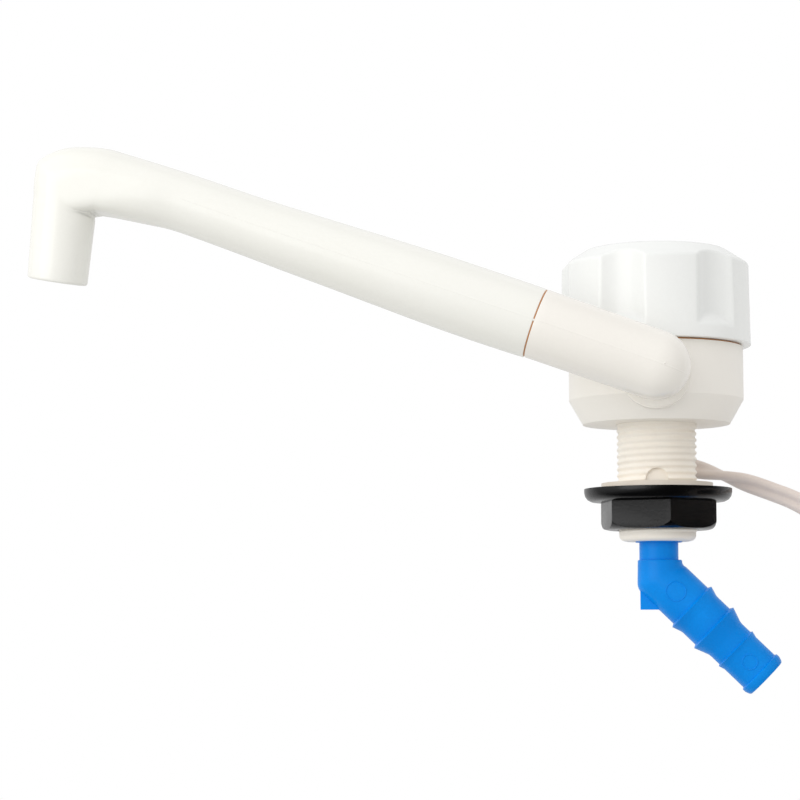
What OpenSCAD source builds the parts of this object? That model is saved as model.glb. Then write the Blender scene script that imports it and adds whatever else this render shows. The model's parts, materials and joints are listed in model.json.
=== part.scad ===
// Electric pump faucet: a worktop tap with a fluted knob over a valve and a
// micro-switch, a spout that swings on a level pivot, a threaded stem with its
// back nut, an angled barbed hose tail and a flat twin lead.
// Millimetres, +Z up, front towards -Y. The origin is on the stem's axis at
// the underside of the body, which sits on the worktop.

/* [Body] */
// Radius of the body drum
body_r = 22.9; // [22:0.1:26]
// Height of the body drum
body_h = 20.1; // [19:0.1:24]
// Radius of the flat seat under the body
seat_r = 19.3; // [17:0.1:20]
// Height of the bevel between seat and drum
bevel_h = 6.3; // [4:0.1:8]
// Wall of the body drum
body_wall = 2.3; // [1.8:0.1:3]
// Floor of the body drum
body_floor = 2.5; // [2:0.1:3]
// Thickness of the lid inside the top of the drum
lid_t = 1.6; // [1.2:0.1:2]
// Width of the ledge that carries the lid
lid_ledge = 0.8; // [0.6:0.1:1.2]

/* [Knob] */
// Radius of the knob at its skirt
knob_r = 25; // [24.5:0.1:26]
// Radius of the knob at its shoulder
knob_shoulder_r = 24.7; // [24:0.1:25]
// Height of the grip, from skirt to shoulder
knob_grip_h = 21.4; // [18:0.1:26]
// Height of the bevelled crown above the shoulder
knob_crown_h = 4; // [3.5:0.1:6]
// Radius of the flat top
knob_top_r = 18.7; // [17.5:0.1:21]
// Gap between knob and body
knob_gap = 0.5; // [0.4:0.1:1]
// Number of finger flutes
flute_count = 6; // [4:1:8]
// Width of one flute at the rim
flute_w = 12.3; // [9:0.1:14]
// Depth of one flute
flute_depth = 2.75; // [1.5:0.05:3]
// Plain skirt below the flutes
skirt_h = 3.4; // [3:0.1:6]
// Height of the sloped foot of a flute
flute_runout_h = 3.9; // [2:0.1:5]
// Turn of the flutes about the axis
flute_turn = 10; // [-30:1:30]
// Wall of the knob behind the flutes
knob_wall = 1.9; // [1.5:0.1:2.5]
// Radius of the snap-in cap on the knob
cap_r = 16.4; // [14:0.1:17]
// Thickness of the cap
cap_t = 1.4; // [1:0.1:2]

/* [Spout] */
// Depth of the spout's pivot below the top of the drum
pivot_drop = 8.1; // [7.8:0.1:8.7]
// Gap between the knob and the arm in front of it
arm_gap = 0.8; // [0.6:0.1:3]
// Rise of the arm above level
arm_rise = 20.2; // [5:0.1:60]
// Radius of the elbow's round end
elbow_r = 8.75; // [8.4:0.05:8.9]
// Radius of the elbow at its seam with the spout
seam_r = 9; // [8.9:0.05:9.3]
// Length of the elbow from the pivot to the seam
elbow_len = 31.9; // [24:0.1:40]
// Radius of the plug that joins elbow and spout
joint_r = 6.3; // [5.6:0.1:6.6]
// Length of that plug
joint_len = 14; // [8:0.5:20]
// Radius of the collar round the pivot
collar_r = 8.95; // [8:0.05:9.2]
// Depth of the collar's middle below the pivot axis
collar_drop = 1.3; // [0.5:0.1:1.5]
// Reach of the collar in front of the knob
collar_proud = 0.5; // [0.2:0.1:1]
// Radius of the pivot tube
pivot_r = 5.4; // [5:0.1:5.8]
// Radius of the spout where it meets the elbow
spout_r = 9.1; // [8.9:0.05:9.5]
// Length of the spout from its seam to the corner of its bend
spout_len = 116.1; // [95:0.1:140]
// Wall of the spout
spout_wall = 2; // [1.5:0.1:2.2]
// Half width of the spout at its bend
bend_half_w = 7.9; // [7.4:0.1:8.5]
// Depth of the bend's inner corner below the arm's axis
bend_drop = 11.5; // [10.5:0.1:13]
// Reach of the bend's back from that corner
bend_r = 21; // [20:0.1:23]
// Length of the down-turned tip below the bend
tip_len = 17.8; // [10:0.1:30]
// Radius of the tip at its mouth
tip_r = 7.8; // [7.2:0.05:8.2]
// Lean of the tip back towards the body
tip_lean = 12.8; // [5:0.1:25]
// Slope of the mouth, up to the rear
mouth_rake = 8; // [0:0.5:12]

/* [Stem and nut] */
// Radius of the stem over its thread
stem_r = 10.48; // [10.2:0.01:10.8]
// Length of the stem below the body
stem_len = 30.8; // [29:0.1:60]
// Bore of the stem where the lead runs
stem_bore_r = 8.2; // [7.9:0.1:8.5]
// Depth at which the stem closes round the inlet tube
stem_web_z = 18; // [16:0.5:22]
// Thickness of the stem's flange inside the body
stem_flange_t = 2; // [1.5:0.1:2.5]
// Radius of that flange
stem_flange_r = 12.5; // [11.5:0.1:13]
// Radius of the stem's end face
stem_nose_r = 7.6; // [7:0.1:9]
// Height of the cone at the stem's end
stem_nose_h = 2; // [1:0.1:3]
// Width of the arched windows in the stem
window_w = 5.9; // [5:0.1:7]
// Depth of the front window's crown below the body
window_front_z = 12; // [10:0.1:14]
// Depth of the rear window's crown, where the lead leaves
window_rear_z = 5; // [4:0.1:6]
// Wall left behind the front window, which is blind
window_front_wall = 0.8; // [0.6:0.1:1.2]
// Depth of the washer's top below the body
clamp_gap = 15.5; // [15:0.1:17]
// Radius of the sealing washer
washer_r = 14.6; // [13:0.1:18]
// Thickness of the sealing washer
washer_t = 1.5; // [1:0.1:3]
// Radius of the back nut's flange
nut_flange_r = 19.35; // [18:0.05:22]
// Thickness of the flange at its rim
nut_rim_t = 1.9; // [1.5:0.1:2.5]
// Radius of the nut's hexagon over its corners
nut_hex_r = 15.9; // [14.5:0.1:17]
// Height of the whole nut
nut_h = 10.8; // [8:0.1:12]
// Turn of the hexagon about the axis
nut_turn = -18.5; // [-30:0.5:30]

/* [Hose tail] */
// Radius of the tail's straight neck
tail_neck_r = 5.1; // [4.9:0.05:5.5]
// Radius of the tail's upright part below the shoulder
tail_upright_r = 5.8; // [5.6:0.05:6.2]
// Radius of the barbed leg up to its second barb
tail_leg_r = 6.5; // [6.3:0.05:6.7]
// Depth of the bend's shoulder below the stem
tail_neck_len = 4.8; // [3:0.1:8]
// Depth of the bend's corner below the shoulder
tail_corner = 4.1; // [3:0.1:6]
// Angle of the barbed leg from straight down
tail_angle = 45.7; // [30:0.1:60]
// Length of the barbed leg from the corner
tail_leg = 38.2; // [36:0.1:50]
// Radius of the first two barbs
barb_r = 7.4; // [6.8:0.05:8]
// Distance of the first barb from the corner
barb_start = 11.7; // [10:0.05:14]
// Distance from barb to barb
barb_pitch = 7.8; // [7:0.05:8.5]
// Radius of the last barb and the end ring
barb_end_r = 6.35; // [6.1:0.05:6.6]
// Radius of the leg between its last barbs
tail_core_r = 5.85; // [5.5:0.05:6]
// Water bore of inlet tube and tail
water_r = 3.7; // [3.4:0.1:3.8]

/* [Valve and switch] */
// Radius of the spindle
spindle_r = 2.5; // [2.2:0.1:2.8]
// Lift of the valve plug over the knob's half turn
valve_lift = 1.5; // [1:0.1:1.8]
// Radius of the valve chamber
chamber_r = 5; // [4.8:0.1:5.2]
// Outer radius of the valve housing
housing_r = 8; // [7.6:0.1:8.2]
// Smallest radius of the switch cam
cam_r = 7.6; // [7:0.1:8]
// Travel of the switch button over the knob's half turn
button_travel = 1.2; // [0.8:0.1:1.4]
// Width of the switch case
switch_w = 12.8; // [12:0.1:13.5]
// Height of the switch case
switch_h = 5.8; // [5.5:0.1:6.5]

/* [Lead] */
// Width of the flat twin lead
lead_w = 5.2; // [4.8:0.1:5.4]
// Thickness of the flat twin lead
lead_t = 2.6; // [2.4:0.1:2.7]
// Turns of the stored coil
coil_turns = 3; // [2:1:4]
// Radius of the coil's outermost turn
coil_r = 28; // [26:0.5:30]

/* [Hidden] */
$fn = 96;

// Clearances: running fit, glued or pressed seat, and free gap between bodies
run_fit = 0.05;
seat_fit = 0.05;
free_gap = 0.3;
thin_gap = 0.2;
// Overshoot of a cutting tool past the face that it opens, and of a joined piece into its neighbour
over = 1;
join_h = 0.1;

// Body cavity and lid
cavity_r = body_r - body_wall;
lid_r = cavity_r + lid_ledge;
lid_z = body_h - lid_t;
pivot_z = body_h - pivot_drop;
collar_wall = 1.6;
// The collar and the arm stand in front of the knob, and of the drum with its least stand
collar_stand = 2.1;
front_r = max(knob_r, body_r + collar_stand);
collar_y = front_r + collar_proud;
collar_sleeve = 7;
collar_back_y = cavity_r - collar_sleeve;
arm_y = front_r + arm_gap + seam_r;
seal_inset = 3.5;
seal_pitch = 3;
neck_r = elbow_r - 0.35;
neck_plug = 4;

// Knob
knob_z = body_h + knob_gap;
shoulder_z = knob_z + knob_grip_h;
knob_top_z = shoulder_z + knob_crown_h;
knob_cavity_r = knob_r - flute_depth - knob_wall;
knob_roof = 3.2;
knob_roof_z = knob_top_z - cap_t - knob_roof;
flute_rim_drop = knob_r - sqrt(knob_r * knob_r - flute_w * flute_w / 4);
flute_sag = flute_depth - flute_rim_drop;
flute_r = (flute_w * flute_w / 4 + flute_sag * flute_sag) / (2 * flute_sag);
flute_axis_r = knob_r - flute_depth + flute_r;
hub_r = 6;
screw_r = 1.5;
screw_head_r = 3;
screw_head_t = 2;

// Valve stack, from the stem's flange up to the lid
valve_z = body_floor + stem_flange_t;
seat_lip_z = valve_z + 2.7;
washer_z = seat_lip_z + 0.1;
plug_z = washer_z + 1;
gland_top_z = lid_z - thin_gap;
gland_flange_t = 1.2;
gland_z = gland_top_z - gland_flange_t - 2.1;
spindle_collar_t = 1.2;
spindle_collar_z = gland_z - thin_gap - spindle_collar_t;
plug_top_z = spindle_collar_z - thin_gap - valve_lift;
plug_hole_z = plug_z + 0.6;
spindle_end_z = plug_hole_z + valve_lift + thin_gap;
spindle_nose_r = spindle_r - 0.3;
seat_lip_t = 0.8;
wall_t = 1;
rib_w = 1.4;
rib_h = 0.9;
outlet_r = 3.2;
outlet_bore_r = 2.2;
outlet_lap = 0.4;
outlet_y = collar_back_y + outlet_lap;
pivot_bore_r = 3.6;
pivot_lap = 2.6;
pivot_end_y = collar_back_y - pivot_lap;

// Switch and its cam, on the lid inside the knob
clip_t = 0.6;
cam_z = body_h + 2 * thin_gap + clip_t + 0.1;
cam_t = 3.5;
hub_z = cam_z + cam_t + 1.8;
spindle_top_z = knob_roof_z - 1.5;
button_y = cam_r + thin_gap;
button_r = 1;
button_len = 5.2;
button_z = cam_z + cam_t / 2;
switch_y = button_y + button_travel + 1.2;
// The case leaves room behind it for its terminals and wires, inside knob and drum
switch_back = 3.65;
switch_d = min(knob_cavity_r, cavity_r) - switch_back - switch_y;
switch_size = [switch_w, switch_d, switch_h];
switch_screw_r = 0.85;
terminal_x = 3.2;
terminal_len = 2.2;
terminal_w = 2.4;
terminal_t = 0.5;
wire_r = lead_t / 2 - 0.2;
wire_stand = 0.6;

// Stem, washer and nut
washer_top_z = -clamp_gap;
nut_top_z = washer_top_z - washer_t;
nut_bottom_z = nut_top_z - nut_h;
inlet_r = 5.5;
inlet_end_z = -stem_len + 7;
thread_depth = 0.5;

// Hose tail
tail_top_z = -stem_len;
shoulder_tail_z = tail_top_z - tail_neck_len;
corner_z = shoulder_tail_z - tail_corner;

// Places along the barbed leg, from the corner
barb_places = [for (i = [0 : 2]) barb_start + i * barb_pitch];
end_ring_len = 2.4;
web_t = 3;
web_x = 4.7;
web_drop = 8.9;

// Lead route, from the rear window to the coil
lead_route = [
    [0, 10.6, -9], [0.4, 13, -9], [2, 15.8, -9.1], [5.2, 18, -9.5],
    [10.5, 19, -10.6], [18, 18.5, -12.6], [25, 17.2, -14.9], [31, 16, -17.2],
    [36, 15, -19.3], [40.5, 14.4, -22], [44.3, 13.9, -25.8], [47.2, 13.4, -30.8],
    [48.7, 13.1, -36.4], [49, 13, -41.4], [49, 13, -46.4]
];
lead_end = lead_route[len(lead_route) - 1];
lead_sides = 8;
lead_twist = 3;

// Coil: it spirals in on one layer and out again on the next
coil_rings = 24;
coil_sides = 6;
coil_gap = 1;
coil_pitch = lead_t + coil_gap;
coil_layer = lead_w + 0.9;
coil_climb_turn = 90;
coil_half = 180 * coil_turns;
coil_y = lead_end[1] - coil_r;
coil_z = lead_end[2];
tie_t = 1;
tie_w = 2.6;
wire_core_r = 0.5;
wire_bare_len = 8;

// Spout sections in the arm's plane: share of the spout's length, crown and belly
// as shares of its radius, and how square the belly is, from 2 where it is round
spout_shape = [
    [0, 1, -1.02, 2], [0.12, 0.99, -1.05, 2], [0.228, 0.973, -1.045, 2],
    [0.336, 0.934, -1.017, 2], [0.448, 0.881, -0.983, 2], [0.556, 0.834, -0.958, 2],
    [0.663, 0.797, -0.923, 2], [0.775, 0.789, -0.901, 2], [0.836, 0.78, -0.91, 2.4],
    [0.887, 0.762, -0.99, 3.2], [0.939, 0.739, -1.09, 4.5]
];
spout_sections = [for (s = spout_shape)
    [elbow_len + s[0] * spout_len, s[1] * spout_r, s[2] * spout_r, s[3]]];
// Inner corner of the bend, and the reach to its back at each angle round it
bend_corner = [elbow_len + spout_len, -bend_drop];
bend_shape = [
    [90, 0.855], [72, 0.862], [58, 0.895], [42, 0.96], [30, 1], [23, 1.005],
    [14, 0.929], [0, 0.833], [-8, 0.81], [-tip_lean, 0.8]
];
bend_reach = [for (b = bend_shape) [b[0], b[1] * bend_r]];
bend_pinch = 0.3;
// The arm's square belly runs on at this angle, until it meets the round tip
belly_lean = 11;
bend_square = 5;
bend_belly_h = (bend_reach[0][1] - bend_pinch) / 2;
bend_tip_h = (bend_reach[len(bend_reach) - 1][1] - bend_pinch) / 2;
mouth_edge = 0.7;
mouth_lean = tip_lean - 2.5;
spout_sides = 32;

// Colours
off_white = "#F4F2EE";
cool_white = "#F7F9FA";
ivory = "#FBF8EE";
cream = "#F1E9DC";
warm_grey = "#DDD5CF";
tap_blue = "#2A86DC";
black = "#232226";

// Vector helpers
function unit(v) = v / norm(v);
function heading(route, i) =
    unit(route[min(i + 1, len(route) - 1)] - route[max(i - 1, 0)]);

// An oval ring about a point: wide along side, thin across it
function ring(centre, along, side, half_w, half_t, sides) =
    let (s = unit(side - (side * along) * along), n = cross(along, s))
    [for (j = [0 : sides - 1])
        let (a = 360 * (j + 0.5) / sides)
        centre + half_w * cos(a) * s + half_t * sin(a) * n];

// Triangles between ring i and ring k, of the given number of sides
function band(i, k, sides) =
    [for (j = [0 : sides - 1])
        let (next = (j + 1) % sides)
        each [[i * sides + j, k * sides + next, k * sides + j],
              [i * sides + j, i * sides + next, k * sides + next]]];

// A closed skin over rings, capped at both ends
module skin(rings) {
    sides = len(rings[0]);
    last = len(rings) - 1;
    sleeve = [for (i = [0 : last - 1]) each band(i, i + 1, sides)];
    caps = [for (j = [1 : sides - 2])
        each [[0, j + 1, j], [last * sides, last * sides + j, last * sides + j + 1]]];
    polyhedron([for (r = rings) each r], concat(sleeve, caps), convexity = 6);
}

// A skin whose last ring joins its first, such as a tube with a bore
module looped_skin(rings) {
    sides = len(rings[0]);
    count = len(rings);
    polyhedron(
        [for (r = rings) each r],
        [for (i = [0 : count - 1]) each band(i, (i + 1) % count, sides)],
        convexity = 10
    );
}

// A round ring of round section
module oring(ring_r, cord_r) {
    rotate_extrude() translate([ring_r, 0]) circle(cord_r);
}

// A turned tube between two heights
module tube(outer_r, inner_r, z0, z1) {
    difference() {
        translate([0, 0, z0]) cylinder(r = outer_r, h = z1 - z0);
        translate([0, 0, z0 - over]) cylinder(r = inner_r, h = z1 - z0 + 2 * over);
    }
}

// Places a shape whose +Z points to the rear along the spout's pivot
module on_pivot(y) {
    translate([0, y, pivot_z]) rotate([-90, 0, 0]) children();
}

// Places a shape drawn along +Z along the spout's arm, with +X as its crown
module on_arm() {
    translate([0, -arm_y, pivot_z]) rotate([0, arm_rise - 90, 0]) children();
}

module body_shell() {
    color(off_white) difference() {
        union() {
            rotate_extrude() polygon([
                [stem_r + seat_fit, 0], [seat_r, 0], [body_r, bevel_h],
                [body_r, body_h], [cavity_r, body_h],
                [cavity_r, bevel_h + body_wall], [seat_r - body_wall, body_floor],
                [stem_r + seat_fit, body_floor]
            ]);
            collar();
        }
        translate([0, 0, lid_z]) cylinder(r = lid_r + seat_fit, h = lid_t + over);
        on_pivot(-collar_y - over) cylinder(r = pivot_r + run_fit, h = collar_y);
    }
}

// The collar that carries the pivot tube: a boss outside, a sleeve inside
module collar() {
    boss_back_y = cavity_r - 1.2;
    intersection() {
        translate([0, 0, -collar_drop])
            on_pivot(-collar_y) cylinder(r = collar_r, h = collar_y - boss_back_y);
        collar_room(body_h - 2 * thin_gap);
    }
    intersection() {
        on_pivot(-boss_back_y - 0.5)
            cylinder(r = pivot_r + collar_wall, h = boss_back_y + 0.5 - collar_back_y);
        collar_room(lid_z - thin_gap);
    }
}

// Everything above the worktop and below a height
module collar_room(top_z) {
    translate([-body_r, -2 * body_r, body_floor / 2])
        cube([2 * body_r, 4 * body_r, top_z - body_floor / 2]);
}

module body_lid() {
    color(off_white) difference() {
        translate([0, 0, lid_z]) cylinder(r = lid_r, h = lid_t);
        translate([0, 0, lid_z - over])
            cylinder(r = spindle_r + 2 * thin_gap, h = lid_t + 2 * over);
        lead_slot(lid_z - over, lid_t + 2 * over);
        switch_holes(lid_z - over, lid_t + 2 * over);
    }
}

// The slot that lets the switch's wires down through the lid
module lead_slot(z, h) {
    slot_w = 2 * (terminal_x + 2 * wire_r);
    slot_y = switch_y + switch_d + wire_stand / 2;
    translate([-slot_w / 2, slot_y, z]) cube([slot_w, 2 * wire_r + 1.5 * wire_stand, h]);
}

// The two fixing holes of the switch
module switch_holes(z, h) {
    for (side = [-1, 1])
        translate([side * switch_w / 4, switch_y + switch_d / 2, z])
            cylinder(r = switch_screw_r + run_fit, h = h);
}

module threaded_stem() {
    root_r = stem_r - thread_depth;
    nose_z = -stem_len + stem_nose_h;
    color(cream) difference() {
        rotate_extrude() polygon([
            [inlet_r + seat_fit, -stem_len], [stem_nose_r, -stem_len],
            [root_r, nose_z], [stem_r, nose_z + thread_depth], [stem_r, body_floor],
            [stem_flange_r, body_floor], [stem_flange_r, valve_z],
            [stem_bore_r, valve_z], [stem_bore_r, -stem_web_z],
            [inlet_r + seat_fit, -stem_web_z]
        ]);
        window(-1, window_front_z, stem_bore_r + window_front_wall);
        window(1, window_rear_z, stem_bore_r - 1);
    }
}

// An arched window in one side of the stem, down to the web and in to a back plane
module window(side, crown_z, back_y) {
    crown_r = window_w / 2;
    foot_z = -stem_web_z + 0.5;
    translate([0, side * stem_r, 0]) rotate([90, 0, 0])
        linear_extrude(2 * (stem_r - back_y), center = true) {
            translate([0, -crown_z - crown_r]) circle(crown_r);
            translate([-crown_r, foot_z])
                square([window_w, -crown_z - crown_r - foot_z]);
        }
}

module inlet_tube() {
    color(cream) tube(inlet_r, water_r, inlet_end_z, valve_z);
}

module sealing_washer() {
    color(cream) tube(washer_r, stem_r + seat_fit, nut_top_z, washer_top_z);
}

module back_nut() {
    cone_h = 1.5;
    skirt_z = nut_top_z - nut_rim_t - cone_h;
    edge = 0.9;
    color(black) difference() {
        union() {
            rotate_extrude() polygon([
                [0, nut_top_z], [nut_flange_r, nut_top_z],
                [nut_flange_r, nut_top_z - nut_rim_t + edge],
                [nut_flange_r - edge, nut_top_z - nut_rim_t],
                [nut_hex_r - edge, skirt_z], [0, skirt_z]
            ]);
            intersection() {
                rotate([0, 0, nut_turn]) translate([0, 0, nut_bottom_z])
                    cylinder(r = nut_hex_r, h = nut_h - nut_rim_t, $fn = 6);
                nut_chamfer();
            }
        }
        translate([0, 0, nut_bottom_z - over])
            cylinder(r = stem_r + seat_fit, h = nut_h + 2 * over);
    }
}

// The turned cone that rounds off the hexagon's lower corners
module nut_chamfer() {
    chamfer_h = 2;
    foot_r = nut_hex_r * cos(30) - 0.4;
    rotate_extrude() polygon([
        [0, nut_bottom_z], [foot_r, nut_bottom_z],
        [nut_hex_r + 0.2, nut_bottom_z + chamfer_h],
        [nut_hex_r + 0.2, nut_top_z], [0, nut_top_z]
    ]);
}

// Places a shape drawn along +Z along the tail's barbed leg
module on_leg() {
    translate([0, 0, corner_z]) rotate([0, 180 - tail_angle, 0]) children();
}

module hose_tail() {
    color(tap_blue) difference() {
        union() {
            tail_plug();
            tail_bend();
            on_leg() tail_barbs();
            tail_web();
        }
        translate([0, 0, corner_z]) cylinder(r = water_r - 0.3, h = -corner_z);
        translate([0, 0, corner_z]) sphere(water_r + 0.2);
        on_leg() cylinder(r = water_r, h = tail_leg + over);
    }
}

// The plug inside the stem, its thin collar and the straight neck
module tail_plug() {
    groove_z = (inlet_end_z + tail_top_z) / 2;
    collar_t = 0.5;
    rotate_extrude() polygon([
        [0, shoulder_tail_z - 1], [tail_neck_r, shoulder_tail_z - 1],
        [tail_neck_r, tail_top_z - collar_t],
        [inlet_r + 0.8, tail_top_z - collar_t], [inlet_r + 0.8, tail_top_z],
        [inlet_r, tail_top_z], [inlet_r, groove_z - 0.7], [inlet_r - 0.9, groove_z - 0.7],
        [inlet_r - 0.9, groove_z + 0.7], [inlet_r, groove_z + 0.7],
        [inlet_r, inlet_end_z - thin_gap], [0, inlet_end_z - thin_gap]
    ]);
}

// The round bend, from the shoulder to the start of the barbed leg
module tail_bend() {
    translate([0, 0, corner_z]) cylinder(r = tail_upright_r, h = tail_corner);
    translate([0, 0, corner_z]) sphere(tail_leg_r - 0.1);
}

// The barbed leg in profile: two large barbs, a small one and an end ring
module tail_barbs() {
    end_r = tail_core_r - 0.3;
    ring_z = tail_leg - end_ring_len;
    rotate_extrude() polygon([
        [0, 0], [tail_leg_r, 0], [tail_leg_r, barb_places[0]],
        [barb_r, barb_places[0]], [tail_leg_r, barb_places[0] + 2.6],
        [tail_leg_r, barb_places[1]], [barb_r, barb_places[1]],
        [tail_core_r, barb_places[1] + 3.7], [tail_core_r, barb_places[2]],
        [barb_end_r, barb_places[2]], [tail_core_r, barb_places[2] + 1.6],
        [tail_core_r, ring_z], [barb_end_r, ring_z],
        [barb_end_r, ring_z + 0.8], [end_r, tail_leg], [0, tail_leg]
    ]);
}

// The square web in the outer corner of the bend
module tail_web() {
    translate([-web_x, -web_t / 2, corner_z - web_drop])
        cube([web_x + 0.5, web_t, web_drop + 1]);
}

module tail_oring() {
    color(black) translate([0, 0, (inlet_end_z + tail_top_z) / 2])
        oring(inlet_r - 0.4, 0.4);
}

module valve_housing() {
    color(off_white) {
        difference() {
            union() {
                translate([0, 0, valve_z]) cylinder(r = housing_r, h = gland_seat_z() - valve_z);
                on_pivot(-outlet_y) cylinder(r = outlet_r, h = outlet_y);
            }
            chamber();
            on_pivot(-outlet_y - over) cylinder(r = outlet_bore_r, h = outlet_y + over);
            translate([0, 0, valve_z - over])
                cylinder(r = water_r - seat_lip_t, h = seat_lip_z - valve_z + 2 * over);
            wire_notch();
        }
    }
}

// The notch that lets the wires pass the foot of the housing
module wire_notch() {
    notch_w = lead_w / 2 + 3 * wire_r;
    translate([-notch_w / 2, chamber_r + wall_t, valve_z - over])
        cube([notch_w, housing_r, 4.2 * wire_r + over]);
}

// Height of the face that the gland's flange sits on
function gland_seat_z() = gland_top_z - gland_flange_t;

// The hollow of the valve chamber, with its seat lip and guide ribs standing
module chamber() {
    floor_z = seat_lip_z - 0.5;
    difference() {
        translate([0, 0, floor_z])
            cylinder(r = chamber_r, h = gland_seat_z() - floor_z + over);
        tube(water_r, water_r - seat_lip_t, floor_z - over, seat_lip_z);
        for (side = [-1, 1])
            translate([side * chamber_r, 0, (floor_z + gland_z - thin_gap) / 2])
                cube([2 * rib_h, rib_w, gland_z - thin_gap - floor_z], center = true);
    }
}

module valve_gland() {
    groove_z = (gland_z + gland_top_z) / 2;
    groove_r = spindle_r + 1.45;
    color(off_white) difference() {
        union() {
            translate([0, 0, gland_z])
                cylinder(r = chamber_r - seat_fit, h = gland_seat_z() - gland_z + 0.1);
            translate([0, 0, gland_seat_z()]) cylinder(r = housing_r, h = gland_flange_t);
        }
        translate([0, 0, gland_z - over])
            cylinder(r = spindle_r + run_fit, h = gland_top_z - gland_z + 2 * over);
        translate([0, 0, groove_z - 0.75]) cylinder(r = groove_r, h = 1.5);
    }
}

module spindle_oring() {
    color(black) translate([0, 0, (gland_z + gland_top_z) / 2])
        oring(spindle_r + run_fit + 0.65, 0.65);
}

module outlet_seal() {
    color(black) on_pivot(-outlet_y + 0.3)
        tube(pivot_bore_r - run_fit, outlet_r + 0.02, 0, 1.6);
}

module switch_case() {
    color(black) difference() {
        translate([-switch_w / 2, switch_y, body_h]) cube(switch_size);
        translate([0, switch_y - over, button_z]) rotate([-90, 0, 0])
            cylinder(r = button_r + run_fit, h = over + button_y + button_len + thin_gap - switch_y);
        switch_holes(body_h - over, switch_h + 2 * over);
    }
}

module switch_terminals() {
    color("silver") for (side = [-1, 1])
        translate([side * terminal_x - terminal_w / 2, switch_y + switch_d, button_z - terminal_t / 2])
            cube([terminal_w, terminal_len, terminal_t]);
}

module switch_screws() {
    color("silver") for (side = [-1, 1])
        translate([side * switch_w / 4, switch_y + switch_d / 2, 0]) {
            translate([0, 0, lid_z]) cylinder(r = switch_screw_r, h = lid_t + switch_h + join_h);
            translate([0, 0, body_h + switch_h]) cylinder(r = 1.9 * switch_screw_r, h = switch_screw_r);
        }
}

// One wire from a terminal down behind the valve to the rear window
function wire_route(side) =
    let (
        x = side * lead_w / 4,
        end = lead_route[0] - [0, seat_fit, 0],
        start_y = switch_y + switch_d + wire_stand + wire_r,
        gap_y = (stem_bore_r + inlet_r) / 2,
        reach = start_y - gap_y,
        drop = lid_z - valve_z
    )
    [
        [side * terminal_x, start_y, button_z - terminal_t], [side * terminal_x, start_y, lid_z],
        [side * terminal_x, start_y - 0.04 * reach, valve_z + 0.71 * drop],
        [x + side * 0.4 * wire_r, start_y - 0.22 * reach, valve_z + 0.43 * drop],
        [x + side * 0.1 * wire_r, start_y - 0.53 * reach, valve_z + 0.23 * drop],
        [x, gap_y + 0.21 * reach, valve_z + 0.13 * drop],
        [x, gap_y + 0.05 * reach, valve_z + 0.07 * drop],
        [x, gap_y, valve_z - wire_r], [x, gap_y, end[2] + 6 * wire_r],
        [x, gap_y + 0.05 * wire_r, end[2] + 2.6 * wire_r],
        [x, gap_y + 1.25 * wire_r, end[2] + 0.5 * wire_r],
        [x, end[1] - 0.9 * wire_r, end[2]], [x, end[1], end[2]]
    ];

// A wire meets the lead's end square to it
function wire_heading(route, i) =
    i == len(route) - 1 ? [0, 1, 0] : heading(route, i);

module switch_leads() {
    color(warm_grey) for (side = [-1, 1])
        let (route = wire_route(side))
            skin([for (i = [0 : len(route) - 1])
                ring(route[i], wire_heading(route, i), [1, 0, 0], wire_r, wire_r, lead_sides)]);
}

// The lead leaves with its wide axis level, stands up on the level run and
// turns level again on the drop into the coil
function lead_side(i, along) =
    i < lead_twist ? [cos(90 * i / lead_twist), 0, sin(90 * i / lead_twist)] :
    [-along[2], 0, 1 + along[2]];

module cable_lead() {
    color(warm_grey) skin([for (i = [0 : len(lead_route) - 1])
        let (along = lead_heading(i))
        ring(lead_route[i], along, lead_side(i, along), lead_w / 2, lead_t / 2, lead_sides)]);
}

// The lead leaves the window square to it and meets the coil straight down
function lead_heading(i) =
    i == 0 ? [0, 1, 0] :
    i == len(lead_route) - 1 ? [0, 0, -1] : heading(lead_route, i);

// The coil's turn at an angle: radius, layer and place
function coil_radius(a) =
    coil_r - coil_pitch * (a < coil_half ? a : 2 * coil_half - a) / 360;
function coil_climb(a) =
    let (f = max(0, min(1, (a - coil_half) / coil_climb_turn + 0.5)))
    coil_layer * f * f * (3 - 2 * f);
function coil_point(a) = [
    lead_end[0] + coil_climb(a),
    coil_y + coil_radius(a) * cos(a),
    coil_z - coil_radius(a) * sin(a)
];
coil_last = 2 * coil_half;
coil_route = [for (i = [0 : coil_rings * coil_turns]) coil_point(360 * i / coil_rings)];

// Least gap between turns that lie beside or on each other
coil_least_gap = min([
    for (i = [0 : len(coil_route) - 1], k = [i + coil_rings / 2 : 1 : len(coil_route) - 1])
        let (d = coil_route[k] - coil_route[i])
        max(abs(d[0]) - lead_w, norm([d[1], d[2]]) - lead_t)
]);
echo(coil_least_gap = coil_least_gap);

module cable_coil() {
    last = len(coil_route) - 1;
    color(warm_grey) skin([for (i = [0 : last])
        let (along = i == 0 ? [0, 0, -1] : i == last ? coil_end_heading() : heading(coil_route, i))
        ring(coil_route[i], along, [1, 0, 0], lead_w / 2, lead_t / 2, coil_sides)]);
}

function coil_end_heading() = [0, -sin(coil_last), -cos(coil_last)];

// The tie passes round every turn at the top of the coil
module cable_tie() {
    tops = [for (a = [270 : 360 : coil_last]) coil_radius(a)];
    low = coil_z + min(tops) - lead_t / 2 - free_gap;
    high = coil_z + max(tops) + lead_t / 2 + free_gap;
    left = lead_end[0] - lead_w / 2 - free_gap;
    width = coil_layer + lead_w + 2 * free_gap;
    color(black) difference() {
        translate([left - tie_t, coil_y - tie_w / 2, low - tie_t])
            cube([width + 2 * tie_t, tie_w, high - low + 2 * tie_t]);
        translate([left, coil_y - tie_w / 2 - over, low])
            cube([width, tie_w + 2 * over, high - low]);
    }
}

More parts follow.
